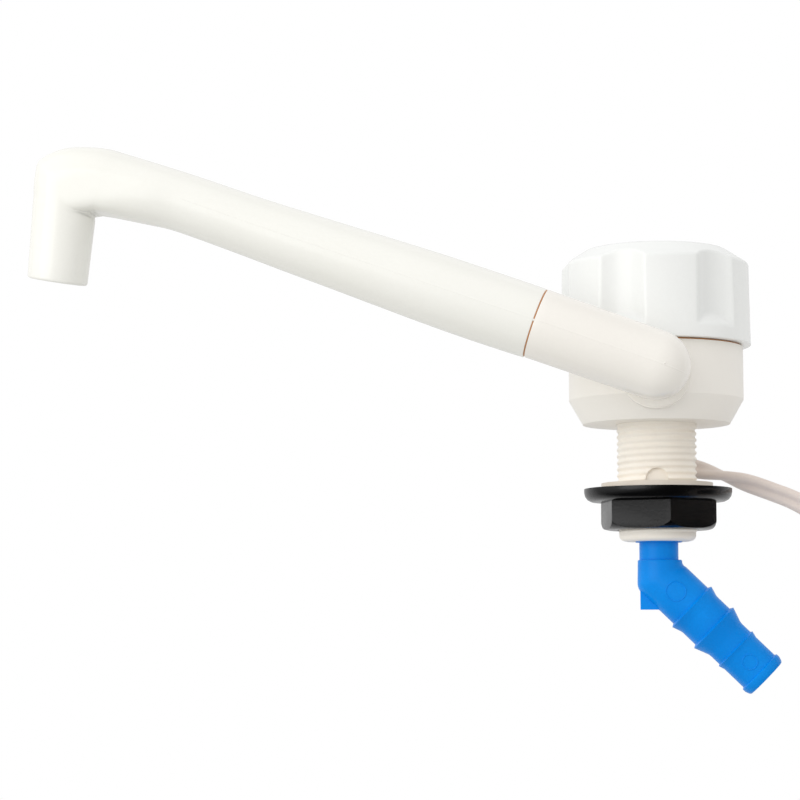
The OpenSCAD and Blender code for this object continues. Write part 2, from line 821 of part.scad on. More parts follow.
// The two tinned wires at the end of the lead
module wire_ends() {
    color("silver") for (side = [-1, 1])
        translate(coil_route[len(coil_route) - 1] + [side * lead_w / 4, 0, 0])
            rotate([180 - coil_last, 0, 0]) cylinder(r = wire_core_r, h = wire_bare_len);
}

module knob() {
    color(cool_white) difference() {
        union() {
            difference() {
                rotate_extrude() polygon([
                    [0, knob_z], [knob_r, knob_z], [knob_shoulder_r, shoulder_z],
                    [knob_top_r, knob_top_z], [0, knob_top_z]
                ]);
                translate([0, 0, knob_z - over])
                    cylinder(r = knob_cavity_r, h = knob_roof_z - knob_z + over);
                for (i = [0 : flute_count - 1])
                    rotate([0, 0, -90 + flute_turn + 360 * (i + 0.5) / flute_count]) flute();
            }
            translate([0, 0, hub_z]) cylinder(r = hub_r, h = knob_roof_z - hub_z + 0.5);
        }
        translate([0, 0, knob_top_z - cap_t]) cylinder(r = cap_r + seat_fit, h = cap_t + over);
        translate([0, 0, hub_z - over]) spindle_drive(run_fit, spindle_top_z + 0.4 - hub_z + over);
        translate([0, 0, hub_z]) cylinder(r = screw_r + 0.2, h = knob_top_z - hub_z);
        translate([0, 0, knob_top_z - cap_t - screw_head_t - 0.3])
            cylinder(r = screw_head_r + 0.3, h = knob_top_z);
    }
}

// The cutter of one flute, above a foot that is turned about the knob's axis and
// slopes in past the flute's depth
module flute() {
    foot_z = knob_z + skirt_h;
    difference() {
        translate([flute_axis_r, 0, foot_z]) cylinder(r = flute_r, h = knob_top_z);
        rotate_extrude() polygon([
            [0, foot_z - over], [knob_r, foot_z - over], [knob_r, foot_z],
            [knob_r - 1.2 * flute_depth, foot_z + flute_runout_h], [0, foot_z + flute_runout_h]
        ]);
    }
}

// The D-shaped drive between spindle and knob
module spindle_drive(fit, h) {
    flat_y = spindle_r - 0.6 + fit;
    intersection() {
        cylinder(r = spindle_r + fit, h = h);
        translate([-2 * spindle_r, -2 * spindle_r, 0]) cube([4 * spindle_r, 2 * spindle_r + flat_y, h]);
    }
}

module knob_cap() {
    edge = 0.4;
    cap_z = knob_top_z - cap_t;
    color(cool_white) rotate_extrude() polygon([
        [0, cap_z], [cap_r, cap_z], [cap_r, knob_top_z - edge],
        [cap_r - edge, knob_top_z], [0, knob_top_z]
    ]);
}

module knob_screw() {
    head_z = knob_top_z - cap_t - screw_head_t - 0.3;
    slot_w = 0.8;
    color("silver") difference() {
        union() {
            translate([0, 0, head_z]) cylinder(r = screw_head_r, h = screw_head_t);
            translate([0, 0, spindle_top_z - 5])
                cylinder(r = screw_r, h = head_z - spindle_top_z + 5 + 0.1);
        }
        translate([-screw_head_r - over, -slot_w / 2, head_z + screw_head_t - 1])
            cube([2 * screw_head_r + 2 * over, slot_w, 2]);
    }
}

module spindle() {
    clip_z = body_h + thin_gap;
    color(cream) difference() {
        union() {
            translate([0, 0, spindle_end_z])
                cylinder(r = spindle_nose_r, h = spindle_collar_z - spindle_end_z + 0.1);
            translate([0, 0, spindle_collar_z])
                cylinder(r = chamber_r - rib_h - free_gap, h = spindle_collar_t);
            translate([0, 0, spindle_collar_z]) cylinder(r = spindle_r, h = hub_z - spindle_collar_z);
            translate([0, 0, hub_z - 0.1]) spindle_drive(0, spindle_top_z - hub_z + 0.1);
        }
        tube(spindle_r + over, spindle_r - 0.5, clip_z, clip_z + clip_t);
        translate([0, 0, spindle_top_z - 5.5]) cylinder(r = screw_r, h = 6.5);
    }
}

module spindle_clip() {
    clip_z = body_h + thin_gap;
    color("silver") difference() {
        tube(spindle_r + 2, spindle_r - 0.5 + seat_fit, clip_z + 0.02, clip_z + clip_t - 0.02);
        translate([0, -0.8, clip_z - over]) cube([spindle_r + 3, 1.6, 3]);
    }
}

// Rise of the cam at an angle, steady over the half turn that meets the button
function cam_rise(a) =
    a > 90 ? 0 :
    a >= -90 ? (90 - a) / 180 :
    a >= -100 ? 1 : (a + 260) / 160;

module switch_cam() {
    step = 5;
    outline = [for (a = [-260 : step : 95])
        let (r = cam_r + button_travel * cam_rise(a))
        [r * cos(a), r * sin(a)]];
    color(tap_blue) difference() {
        translate([0, 0, cam_z]) linear_extrude(cam_t) polygon(outline);
        translate([0, 0, cam_z - over]) cylinder(r = spindle_r + 0.02, h = cam_t + 2 * over);
    }
}

module valve_plug() {
    plug_r = chamber_r - free_gap;
    plug_h = plug_top_z - plug_z;
    flat_y = 0.8 * chamber_r;
    notch = [2 * (rib_h + free_gap), rib_w + 2 * free_gap, plug_h + 2 * over];
    color(tap_blue) difference() {
        intersection() {
            translate([0, 0, plug_z]) cylinder(r = plug_r, h = plug_h);
            translate([-chamber_r, -flat_y, plug_z]) cube([2 * chamber_r, 2 * flat_y, plug_h]);
        }
        translate([0, 0, plug_hole_z]) cylinder(r = spindle_nose_r + run_fit, h = plug_h);
        for (side = [-1, 1])
            translate([side * chamber_r - notch[0] / 2, -notch[1] / 2, plug_z - over]) cube(notch);
    }
}

module valve_washer() {
    color(black) translate([0, 0, washer_z])
        cylinder(r = chamber_r - rib_h - free_gap, h = plug_z - washer_z);
}

module switch_button() {
    color("red") translate([0, button_y, button_z]) rotate([-90, 0, 0])
        cylinder(r = button_r, h = button_len - button_travel);
}

module elbow() {
    color(ivory) difference() {
        union() {
            on_arm() elbow_arm();
            on_pivot(-arm_y) cylinder(r = neck_r, h = arm_y - collar_y - free_gap);
        }
        on_arm() cylinder(r = joint_r - 1.6, h = elbow_len + joint_len + over);
        on_pivot(-arm_y) cylinder(r = pivot_bore_r, h = arm_y);
        on_pivot(-arm_y + neck_plug) cylinder(r = pivot_r + 0.02, h = arm_y);
    }
}

// The arm of the elbow: a round end, a plain barrel and the plug for the spout
module elbow_arm() {
    groove = 1;
    groove_u = elbow_len + joint_len / 2;
    rotate_extrude() {
        intersection() {
            circle(elbow_r);
            translate([0, -elbow_r]) square([elbow_r, elbow_r + 1]);
        }
        polygon([[0, 0], [elbow_r, 0], [seam_r, elbow_len], [0, elbow_len]]);
        difference() {
            square([joint_r, elbow_len + joint_len]);
            translate([joint_r - groove, groove_u - 0.7]) square([2 * groove, 1.4]);
        }
    }
}

module pivot_tube() {
    color(cream) difference() {
        on_pivot(-arm_y + neck_plug + seat_fit)
            tube(pivot_r, pivot_bore_r, 0, arm_y - neck_plug - seat_fit - pivot_end_y);
        for (y = pivot_oring_places())
            on_pivot(-y - 0.7) tube(pivot_r + over, pivot_r - 1.2, 0, 1.4);
        on_pivot(-collar_back_y + free_gap) tube(pivot_r + over, pivot_r - 0.8, 0, 0.9);
    }
}

// Places of the two pivot seals, as distances in front of the stem's axis
function pivot_oring_places() = [collar_y - seal_inset, collar_y - seal_inset - seal_pitch];

module pivot_orings() {
    color(black) for (y = pivot_oring_places())
        on_pivot(-y) oring(pivot_r - 0.57, 0.57);
}

module pivot_clip() {
    color("silver") on_pivot(-collar_back_y + free_gap + 0.05)
        difference() {
            tube(pivot_r + 0.8, pivot_r - 0.75, 0, 0.8);
            translate([-1, 0, -over]) cube([2, 2 * pivot_r, 3]);
        }
}

// A section of the spout in its plane, as a ring about its middle, with its inner
// half squared and, where it is the mouth, a slope along the tip
function spout_ring(inner, outer, half_w, wall, square = 2, slope = [0, 0]) =
    let (
        middle = (inner + outer) / 2,
        up = unit(outer - inner),
        half_h = norm(outer - inner) / 2 - wall,
        w = half_w - wall
    )
    [for (j = [0 : spout_sides - 1])
        let (
            a = 360 * j / spout_sides,
            n = cos(a) < 0 ? square : 2,
            y = w * squared(sin(a), n),
            p = middle + half_h * squared(cos(a), n) * up + y * slope
        )
        [p[1], y, p[0]]];

// A sine or a cosine, drawn out from a circle's towards a square's
function squared(v, n) = sign(v) * pow(abs(v), 2 / n);

// A ring of the bend on a plane through its inner corner: an oval back, and inside it
// the arm's belly carried straight on until the tip's round side comes first
function bend_ring(angle, reach) =
    let (
        half_h = (reach - bend_pinch) / 2,
        belly_share = max(sin(angle + belly_lean), 0.01),
        tip_share = max(cos(angle + tip_lean), 0.01)
    )
    [for (j = [0 : spout_sides - 1])
        let (
            a = 360 * j / spout_sides,
            inside = cos(a) < 0,
            y = squared(sin(a), inside ? bend_square : 2),
            belly = bend_belly_h * (1 + squared(cos(a), bend_square)) / belly_share,
            side = bend_tip_h * (1 - sqrt(max(0, 1 - y * y))) / tip_share,
            rise = inside ? min(half_h, belly, side) : half_h * (1 + cos(a)),
            p = bend_corner + aim(angle) * (bend_pinch + rise)
        )
        [p[1], bend_half_w * y, p[0]]];

// A direction in the arm's plane, at an angle from the arm
function aim(a) = [cos(a), sin(a)];

// The spout's rings with a wall taken off all round, and its mouth rounded off
function spout_rings(wall, edge) =
    let (
        tip_along = [-sin(tip_lean), -cos(tip_lean)],
        mouth = bend_corner + aim(-tip_lean) * tip_r + tip_along * tip_len
    )
    concat(
        [for (s = spout_sections)
            spout_ring([s[0], s[2]], [s[0], s[1]], (s[1] - s[2]) / 2, wall, wall > 0 ? 2 : s[3])],
        [for (b = bend_reach)
            wall > 0
            ? spout_ring(bend_corner + aim(b[0]) * bend_pinch, bend_corner + aim(b[0]) * b[1],
                bend_half_w, wall)
            : bend_ring(b[0], b[1])],
        [for (m = [[mouth_edge, 0], [0, edge]])
            let (
                middle = mouth - tip_along * m[0],
                reach = aim(-mouth_lean) * (tip_r - m[1])
            )
            spout_ring(middle - reach, middle + reach, tip_r - m[1], wall, 2,
                -tan(mouth_rake) * tip_along)]
    );

// The socket for the elbow's plug, then the water passage out to the mouth
function spout_bore_rings() =
    let (
        socket_wall = spout_r - joint_r - 2 * run_fit,
        rings = spout_rings(spout_wall, 0),
        socket_end = elbow_len + joint_len + run_fit
    )
    concat(
        [spout_ring([elbow_len, -spout_r], [elbow_len, spout_r], spout_r, socket_wall),
         spout_ring([socket_end, -spout_r], [socket_end, spout_r], spout_r, socket_wall)],
        [for (i = [2 : len(rings) - 1]) rings[i]]
    );

module spout() {
    outer = spout_rings(0, mouth_edge);
    bore = spout_bore_rings();
    color(ivory) on_arm() looped_skin(
        concat(outer, [for (i = [len(bore) - 1 : -1 : 0]) bore[i]])
    );
}

module spout_oring() {
    color(black) on_arm() translate([0, 0, elbow_len + joint_len / 2])
        oring(joint_r - 0.45, 0.45);
}

body_shell();
body_lid();
threaded_stem();
inlet_tube();
sealing_washer();
back_nut();
hose_tail();
tail_oring();
valve_housing();
valve_gland();
spindle_oring();
outlet_seal();
switch_case();
switch_terminals();
switch_screws();
switch_leads();
cable_lead();
cable_coil();
cable_tie();
wire_ends();
knob();
knob_cap();
knob_screw();
spindle();
spindle_clip();
switch_cam();
valve_plug();
valve_washer();
switch_button();
elbow();
pivot_tube();
pivot_orings();
pivot_clip();
spout();
spout_oring();
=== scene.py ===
"""Dresses the electric pump faucet: moulded plastics, a threaded stem, a grained nut and a twin lead."""

import json
import math

import bpy
from mathutils import Matrix, Vector


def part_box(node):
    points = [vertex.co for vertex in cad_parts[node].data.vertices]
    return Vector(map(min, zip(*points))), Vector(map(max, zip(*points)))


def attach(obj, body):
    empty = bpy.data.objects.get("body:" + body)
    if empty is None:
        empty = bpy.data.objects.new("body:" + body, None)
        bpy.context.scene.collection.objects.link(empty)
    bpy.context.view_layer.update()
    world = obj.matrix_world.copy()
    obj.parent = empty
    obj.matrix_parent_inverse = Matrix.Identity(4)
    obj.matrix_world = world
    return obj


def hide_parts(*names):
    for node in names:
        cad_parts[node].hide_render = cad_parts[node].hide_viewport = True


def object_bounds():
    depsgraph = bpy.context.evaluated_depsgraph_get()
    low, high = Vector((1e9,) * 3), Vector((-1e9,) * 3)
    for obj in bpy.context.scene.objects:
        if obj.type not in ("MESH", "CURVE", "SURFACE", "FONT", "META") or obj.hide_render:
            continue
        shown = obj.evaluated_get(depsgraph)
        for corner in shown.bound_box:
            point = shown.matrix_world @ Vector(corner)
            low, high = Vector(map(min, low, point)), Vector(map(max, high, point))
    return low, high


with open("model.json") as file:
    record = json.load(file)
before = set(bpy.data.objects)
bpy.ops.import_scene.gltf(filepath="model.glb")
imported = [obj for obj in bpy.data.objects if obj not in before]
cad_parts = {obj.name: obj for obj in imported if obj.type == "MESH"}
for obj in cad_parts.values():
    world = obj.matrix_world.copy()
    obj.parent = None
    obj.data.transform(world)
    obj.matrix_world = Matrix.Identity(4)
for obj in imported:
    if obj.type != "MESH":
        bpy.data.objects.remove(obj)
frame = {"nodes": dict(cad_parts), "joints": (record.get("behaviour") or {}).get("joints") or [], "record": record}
nodes = frame["nodes"]
cad_low, cad_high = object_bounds()

# Lengths in this script are millimetres, as in the drawing, and become metres here
MM = 0.001

# Heights and radii read from the frame
BODY_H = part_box("body_shell")[1].z / MM
BODY_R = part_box("body_shell")[1].x / MM
KNOB_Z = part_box("knob")[0].z / MM
KNOB_TOP_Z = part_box("knob")[1].z / MM
KNOB_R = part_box("knob")[1].x / MM
STEM_R = 10.48
STEM_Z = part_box("threaded_stem")[0].z / MM
STEM_TOP_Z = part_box("threaded_stem")[1].z / MM
NUT_TOP_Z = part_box("back_nut")[1].z / MM
NUT_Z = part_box("back_nut")[0].z / MM
NUT_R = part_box("back_nut")[1].x / MM
COLLAR_Y = -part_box("body_shell")[0].y / MM

# Play round a piece that is pushed into another, and how far a cutter reaches past the face that it opens
FIT = 0.05
PAST = 1
# Flat sides of bores and tubes, and of the broader turned rings
BORE_SIDES = 96
RING_SIDES = 128
# A rounded edge as shares of its radius: how far along, and how far in
QUARTER_ROUND = ((0, 1), (0.13, 0.5), (0.5, 0.13))

# The spout's pivot and the arm's direction at rest
SWING = next(j for j in frame["joints"] if j["name"] == "spout_swing")
PIVOT = Vector(SWING["pos_m"]) / MM
ARM_RISE = math.radians(20.2)
ARM_U = Vector((-math.cos(ARM_RISE), 0, math.sin(ARM_RISE)))
ARM_V = Vector((math.sin(ARM_RISE), 0, math.cos(ARM_RISE)))
SEAM_U = 31.9


# Selection and modifiers

def deselect():
    """Leaves nothing selected, in object mode."""
    if bpy.context.object and bpy.context.object.mode != "OBJECT":
        bpy.ops.object.mode_set(mode="OBJECT")
    bpy.ops.object.select_all(action="DESELECT")


def make_active(piece):
    """Selects one piece alone."""
    deselect()
    piece.select_set(True)
    bpy.context.view_layer.objects.active = piece


def settle(piece):
    """Puts a piece's place into its mesh, and turns its faces outwards."""
    make_active(piece)
    bpy.ops.object.transform_apply(location=True, rotation=True, scale=True)
    bpy.ops.object.mode_set(mode="EDIT")
    bpy.ops.mesh.select_all(action="SELECT")
    bpy.ops.mesh.normals_make_consistent(inside=False)
    bpy.ops.object.mode_set(mode="OBJECT")
    return piece


def apply_modifier(piece, kind, **settings):
    """Adds a modifier with its settings and applies it."""
    make_active(piece)
    modifier = piece.modifiers.new(kind.lower(), kind)
    for name, value in settings.items():
        setattr(modifier, name, value)
    bpy.ops.object.modifier_apply(modifier=modifier.name)


def combine(piece, other, operation):
    """Joins another solid to a piece, or cuts it away, and removes it."""
    apply_modifier(piece, "BOOLEAN", object=other, operation=operation, solver="EXACT")
    bpy.data.objects.remove(other)


def join(piece, other):
    combine(piece, other, "UNION")


def cut(piece, other):
    combine(piece, other, "DIFFERENCE")


def gather(piece, other):
    """Takes another solid into a piece's mesh as it is, where it lies half sunk in it."""
    make_active(piece)
    other.select_set(True)
    bpy.ops.object.join()


def round_edges(piece, width, angle=35, segments=3):
    """Rounds every edge sharper than an angle, as a mould does, and shades the rest smooth."""
    make_active(piece)
    bpy.ops.object.mode_set(mode="EDIT")
    bpy.ops.mesh.select_all(action="SELECT")
    bpy.ops.mesh.remove_doubles(threshold=0.005 * MM)
    bpy.ops.mesh.dissolve_limited(angle_limit=math.radians(0.2))
    bpy.ops.object.mode_set(mode="OBJECT")
    apply_modifier(piece, "BEVEL", width=width * MM, segments=segments, limit_method="ANGLE",
                   angle_limit=math.radians(angle), use_clamp_overlap=True, harden_normals=False)
    smooth(piece, angle)


def smooth(piece, angle=35):
    make_active(piece)
    bpy.ops.object.shade_smooth_by_angle(angle=math.radians(angle))


# Shapes

def lathe(name, profile, sides=160):
    """A turned solid on +Z: a disc drawn out ring by ring through [(radius, height), ...]."""
    deselect()
    radius, height = profile[0]
    bpy.ops.mesh.primitive_circle_add(vertices=sides, radius=radius * MM, fill_type="NGON",
                                      location=(0, 0, height * MM))
    piece = bpy.context.object
    piece.name = name
    bpy.ops.object.transform_apply(location=True)
    bpy.ops.object.mode_set(mode="EDIT")
    bpy.ops.mesh.select_all(action="SELECT")
    for next_radius, next_height in profile[1:]:
        bpy.ops.mesh.extrude_region_move(
            TRANSFORM_OT_translate={"value": (0, 0, (next_height - height) * MM)})
        grow = next_radius / radius
        bpy.ops.transform.resize(value=(grow, grow, 1), center_override=(0, 0, next_height * MM))
        radius, height = next_radius, next_height
    bpy.ops.object.mode_set(mode="OBJECT")
    return settle(piece)


def block(name, low, high):
    """A block between two corners."""
    deselect()
    low, high = Vector(low), Vector(high)
    bpy.ops.mesh.primitive_cube_add(size=1, location=(low + high) / 2 * MM)
    piece = bpy.context.object
    piece.name = name
    piece.scale = (high - low) * MM
    return settle(piece)


def turn(piece, matrix):
    """Moves a new piece's mesh by a matrix whose places are in millimetres."""
    move = matrix.copy()
    move.translation = move.translation * MM
    piece.data.transform(move)
    return piece


def along_pivot(piece, y):
    """Lays a piece drawn on +Z along +Y, from a place in front of or behind the stem's axis."""
    return turn(piece, Matrix.Translation((PIVOT.x, y, PIVOT.z)) @ Matrix.Rotation(-math.pi / 2, 4, "X"))


def loft(name, rings, closed=False):
    """A skin through rings of points in millimetres, capped at its ends, or closed on itself."""
    sides = len(rings[0])
    points = [Vector(p) * MM for ring in rings for p in ring]
    count = len(rings)
    spans = count if closed else count - 1
    faces = [
        (i * sides + j, i * sides + (j + 1) % sides,
         (i + 1) % count * sides + (j + 1) % sides, (i + 1) % count * sides + j)
        for i in range(spans) for j in range(sides)
    ]
    if not closed:
        faces += [tuple(range(sides)), tuple(range((count - 1) * sides, count * sides))]
    mesh = bpy.data.meshes.new(name)
    mesh.from_pydata(points, [], faces)
    piece = bpy.data.objects.new(name, mesh)
    bpy.context.scene.collection.objects.link(piece)
    return settle(piece)


def smooth_step(t):
    t = max(0.0, min(1.0, t))
    return t * t * (3 - 2 * t)


def spline(points, steps):
    """A smooth curve through points, which may be of any length, with steps spans between each two."""
    made = []
    last = len(points) - 1
    for i in range(last):
        p0, p1, p2, p3 = (points[max(0, min(last, i + k))] for k in (-1, 0, 1, 2))
        for s in range(steps):
            t = s / steps
            made.append([
                0.5 * (2 * b + (c - a) * t + (2 * a - 5 * b + 4 * c - d) * t ** 2
                       + (3 * b - a - 3 * c + d) * t ** 3)
                for a, b, c, d in zip(p0, p1, p2, p3)
            ])
    made.append(list(points[last]))
    return made


# Camera

SENSOR_MM = 36
FOCAL_PIXELS = 2326
IMAGE_PIXELS = 800
CAMERA_PLACE = Vector((0, -615, -52))
CAMERA_YAW = math.radians(6.31)
CAMERA_PITCH = math.radians(5.48)
CAMERA_ROLL = math.radians(-0.1)


def make_camera():
    """The photograph's view: a long lens below the worktop, looking slightly up."""
    data = bpy.data.cameras.new("camera")
    data.sensor_width = SENSOR_MM
    data.lens = FOCAL_PIXELS / IMAGE_PIXELS * SENSOR_MM
    data.clip_start = 0.01
    data.clip_end = 50
    camera = bpy.data.objects.new("camera", data)
    aim = (Matrix.Rotation(CAMERA_YAW, 4, "Z") @ Matrix.Rotation(math.pi / 2 + CAMERA_PITCH, 4, "X")
           @ Matrix.Rotation(CAMERA_ROLL, 4, "Z"))
    camera.matrix_world = Matrix.Translation(CAMERA_PLACE * MM) @ aim
    bpy.context.scene.collection.objects.link(camera)
    bpy.context.scene.camera = camera


make_camera()


# Materials

def linear(hex_colour):
    """An sRGB hex colour as linear RGBA."""
    parts = [int(hex_colour[i:i + 2], 16) / 255 for i in (1, 3, 5)]
    return [p / 12.92 if p <= 0.04045 else ((p + 0.055) / 1.055) ** 2.4 for p in parts] + [1]


def add_node(tree, kind, settings=None, links=None):
    """Adds a node, gives its sockets and properties their values and links its inputs."""
    node = tree.nodes.new(kind)
    for name, value in (settings or {}).items():
        if name in node.inputs:
            node.inputs[name].default_value = value
        else:
            setattr(node, name, value)
    for name, source in (links or {}).items():
        tree.links.new(source, node.inputs[name])
    return node


def new_material(name):
    """A material with an empty node tree, and places on the piece for its patterns."""
    material = bpy.data.materials.new(name)
    material.use_nodes = True
    tree = material.node_tree
    tree.nodes.clear()
    return material, tree, add_node(tree, "ShaderNodeTexCoord").outputs["Object"]


# A moulded plastic's patterns: the grain's share in the colour, the ends of the colour ramp, and the span of
# the drift over which the gloss follows it, by this much either way
GRAIN_SHARE = 0.4
TINT_ENDS = (0.45, 0.95)
DRIFT_ENDS = (0.25, 0.75)
GLOSS_DRIFT = 0.02


def moulded(name, colour, shade, roughness, patch_mm, grain_mm, grain_depth, specular=0.5, ior=1.53):
    """A moulded plastic: a colour that drifts softly with the flow of the melt, and a fine skin.

    patch_mm is the size of the drift, grain_mm that of the skin's grain and grain_depth its height
    in millimetres. A real skin is finer: the grain is drawn as coarse as it needs to show."""
    material, tree, place = new_material(name)
    drift = add_node(tree, "ShaderNodeTexNoise",
                     {"Scale": 1 / (patch_mm * MM), "Detail": 1, "Roughness": 0.3}, {"Vector": place})
    grain = add_node(tree, "ShaderNodeTexNoise",
                     {"Scale": 1 / (grain_mm * MM), "Detail": 2, "Roughness": 0.6}, {"Vector": place})
    blend = add_node(tree, "ShaderNodeMath", {"operation": "MULTIPLY_ADD"})
    blend.inputs[1].default_value = GRAIN_SHARE
    tree.links.new(grain.outputs["Fac"], blend.inputs[0])
    tree.links.new(drift.outputs["Fac"], blend.inputs[2])
    tint = add_node(tree, "ShaderNodeValToRGB", links={"Fac": blend.outputs["Value"]})
    tint.color_ramp.interpolation = "EASE"
    for element, position, end in zip(tint.color_ramp.elements, TINT_ENDS, (shade, colour)):
        element.position = position
        element.color = linear(end)
    gloss = add_node(tree, "ShaderNodeMapRange",
                     {"From Min": DRIFT_ENDS[0], "From Max": DRIFT_ENDS[1],
                      "To Min": roughness - GLOSS_DRIFT, "To Max": roughness + GLOSS_DRIFT},
                     {"Value": drift.outputs["Fac"]})
    bump = add_node(tree, "ShaderNodeBump", {"Strength": 1, "Distance": grain_depth * MM},
                    {"Height": grain.outputs["Fac"]})
    surface = add_node(tree, "ShaderNodeBsdfPrincipled", {"IOR": ior, "Specular IOR Level": specular},
                       {"Base Color": tint.outputs["Color"], "Roughness": gloss.outputs["Result"],
                        "Normal": bump.outputs["Normal"]})
    add_node(tree, "ShaderNodeOutputMaterial", links={"Surface": surface.outputs["BSDF"]})
    return material


def plain_metal(name, colour, roughness, streak_mm):
    """A drawn or stamped metal with fine streaks across its gloss."""
    duller, glossier = 0.12, 0.08
    material, tree, place = new_material(name)
    streaks = add_node(tree, "ShaderNodeTexNoise", {"Scale": 1 / (streak_mm * MM), "Detail": 3},
                       {"Vector": place})
    gloss = add_node(tree, "ShaderNodeMapRange",
                     {"To Min": roughness - glossier, "To Max": roughness + duller},
                     {"Value": streaks.outputs["Fac"]})
    surface = add_node(tree, "ShaderNodeBsdfPrincipled",
                       {"Base Color": linear(colour), "Metallic": 1},
                       {"Roughness": gloss.outputs["Result"]})
    add_node(tree, "ShaderNodeOutputMaterial", links={"Surface": surface.outputs["BSDF"]})
    return material


# ABS from a polished mould: the body is warm and satin, the knob whiter and glossier, the spout ivory and
# its elbow a little creamier
ABS_BODY = moulded("abs_body", "#FBF7F0", "#F8F4EC", 0.4, 30, 0.8, 0.004)
ABS_KNOB = moulded("abs_knob", "#F6F7F5", "#F3F4F2", 0.25, 35, 0.9, 0.002, specular=0.4)
ABS_SPOUT = moulded("abs_spout", "#F7F6F0", "#F5F4ED", 0.25, 40, 0.9, 0.002)
ABS_ELBOW = moulded("abs_elbow", "#F8F4ED", "#F5F1EA", 0.25, 40, 0.9, 0.002)
# Natural nylon: creamy, with a duller skin
NYLON_STEM = moulded("nylon_stem", "#FDF8EF", "#FAF3E8", 0.5, 12, 0.6, 0.005)
# Black glass-filled nylon from a spark-eroded mould: a fine even grain that catches the light
NYLON_NUT = moulded("nylon_nut", "#040405", "#010102", 0.26, 6, 0.6, 0.035, specular=0.34)
# Acetal in blue: even colour with a soft sheen
ACETAL_TAIL = moulded("acetal_tail", "#0692F2", "#0286E4", 0.34, 14, 0.7, 0.006, specular=0.14, ior=1.48)
# Soft PVC sheath: warm grey, satin
PVC_LEAD = moulded("pvc_lead", "#F0E5DD", "#E9DCD4", 0.45, 12, 0.5, 0.006, specular=0.35)
# Painted shade and glow in the running gaps: tan rings that fill them, whose colour stands in for the shade inside
# a gap and the light that seeps through the pale plastic round it
GAP_GLOW_PAINT = moulded("painted_gap_glow", "#D59A68", "#C98B58", 0.5, 8, 0.5, 0.004)
# White nylon strip: smooth, with a soft sheen
NYLON_TIE = moulded("nylon_tie", "#E9E9E6", "#E2E2DE", 0.4, 6, 0.5, 0.004)
# Beige and black sealing rubber: dull and close-grained
RUBBER_WASHER = moulded("rubber_washer", "#F6ECDF", "#EFE4D5", 0.6, 5, 0.4, 0.01)
NITRILE_SEAL = moulded("nitrile_seal", "#1B1B1B", "#141414", 0.7, 4, 0.4, 0.01)
# Red nylon, small and smooth
NYLON_BUTTON = moulded("nylon_button", "#B02418", "#A41F14", 0.4, 4, 0.4, 0.004)
# Steel wire and stamped terminals, and the tinned ends of the cores
SPRING_STEEL = plain_metal("spring_steel", "#B9BABD", 0.35, 0.3)
TINNED_COPPER = plain_metal("tinned_copper", "#C2BFBA", 0.4, 0.2)

SLOT_FINISHES = {
    "body_plastic": ABS_BODY, "knob_plastic": ABS_KNOB, "spout_plastic": ABS_SPOUT,
    "stem_plastic": NYLON_STEM, "nut_plastic": NYLON_NUT, "tail_plastic": ACETAL_TAIL,
    "seal_rubber": NITRILE_SEAL, "steel": SPRING_STEEL, "lead_sheath": PVC_LEAD,
    "tie_plastic": NYLON_TIE, "button_plastic": NYLON_BUTTON,
}


def dress(piece, material):
    piece.data.materials.clear()
    piece.data.materials.append(material)


for subpart in frame["record"]["subparts"]:
    dress(nodes[subpart["node"]], SLOT_FINISHES[subpart["material_slot"]])
dress(nodes["wire_ends"], TINNED_COPPER)
dress(nodes["sealing_washer"], RUBBER_WASHER)


def finish_piece(piece, body, slot, *replaced, finish=None):
    """Gives a piece its finish and its body, and hides the plain solids that it stands for."""
    dress(piece, finish or SLOT_FINISHES[slot])
    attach(piece, body)
    if replaced:
        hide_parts(*replaced)
    return piece


# Lead

# The twin lead across its cores and through them
LEAD_W = 5.2
LEAD_T = 2.6
# Points of the route, each with the turn of the lead's flat side in degrees: a half twist behind the stem
LEAD_ROUTE = [
    (0, 10.6, -9, 0), (0.4, 13, -9, 25), (2, 15.8, -9.1, 60), (5.2, 18, -9.5, 88), (10.5, 19, -10.6, 78),
    (18, 18.5, -12.6, 0), (25, 17.2, -14.9, -62), (31, 16, -17.2, -68), (36, 15, -19.3, -72),
    (40.5, 14.4, -22, -78), (44.3, 13.9, -25.8, -84), (47.2, 13.4, -30.8, -90), (48.7, 13.1, -36.4, -90),
    (49, 13, -41.4, -90), (49, 13, -46.4, -90),
]
# Points over which the lead turns from leaving the stem to running beside it
LEAD_EXIT_POINTS = 5
# Half the twin lead's thickness in the groove between its cores, as a share of that over a core
LEAD_GROOVE = 0.55
# The coil's turns and radius, its steps from turn to turn and from layer to layer, and the angle in degrees
# over which it crosses between layers
COIL_TURNS = 3
COIL_R = 28
COIL_PITCH = LEAD_T + 1
COIL_LAYER = LEAD_W + 0.9
COIL_CLIMB = 90
COIL_STEPS = 48


def coil_radius(angle):
    half = 180 * COIL_TURNS
    return COIL_R - COIL_PITCH * (angle if angle < half else 2 * half - angle) / 360


def coil_point(angle):
    """The coil spirals in on one layer, steps across and spirals out on the next."""
    x, y, z = LEAD_ROUTE[-1][:3]
    climb = COIL_LAYER * smooth_step((angle - 180 * COIL_TURNS) / COIL_CLIMB + 0.5)
    a = math.radians(angle)
    radius = coil_radius(angle)
    return Vector((x + climb, y - COIL_R + radius * math.cos(a), z - radius * math.sin(a)))


def twin_section(sides=28):
    """The flat twin lead across: two round cores side by side, with a groove between them."""
    core = LEAD_T / 2
    section = []
    for i in range(sides):
        a = 2 * math.pi * (i + 0.5) / sides
        wide, thick = LEAD_W / 2 * math.cos(a), core * math.sin(a)
        from_core = (abs(wide) - LEAD_W / 4) / core
        height = core * math.sqrt(max(0, 1 - from_core ** 2))
        groove = LEAD_GROOVE * core
        section.append((wide, math.copysign(max(height, groove if abs(wide) < LEAD_W / 4 else 0), thick)))
    return section


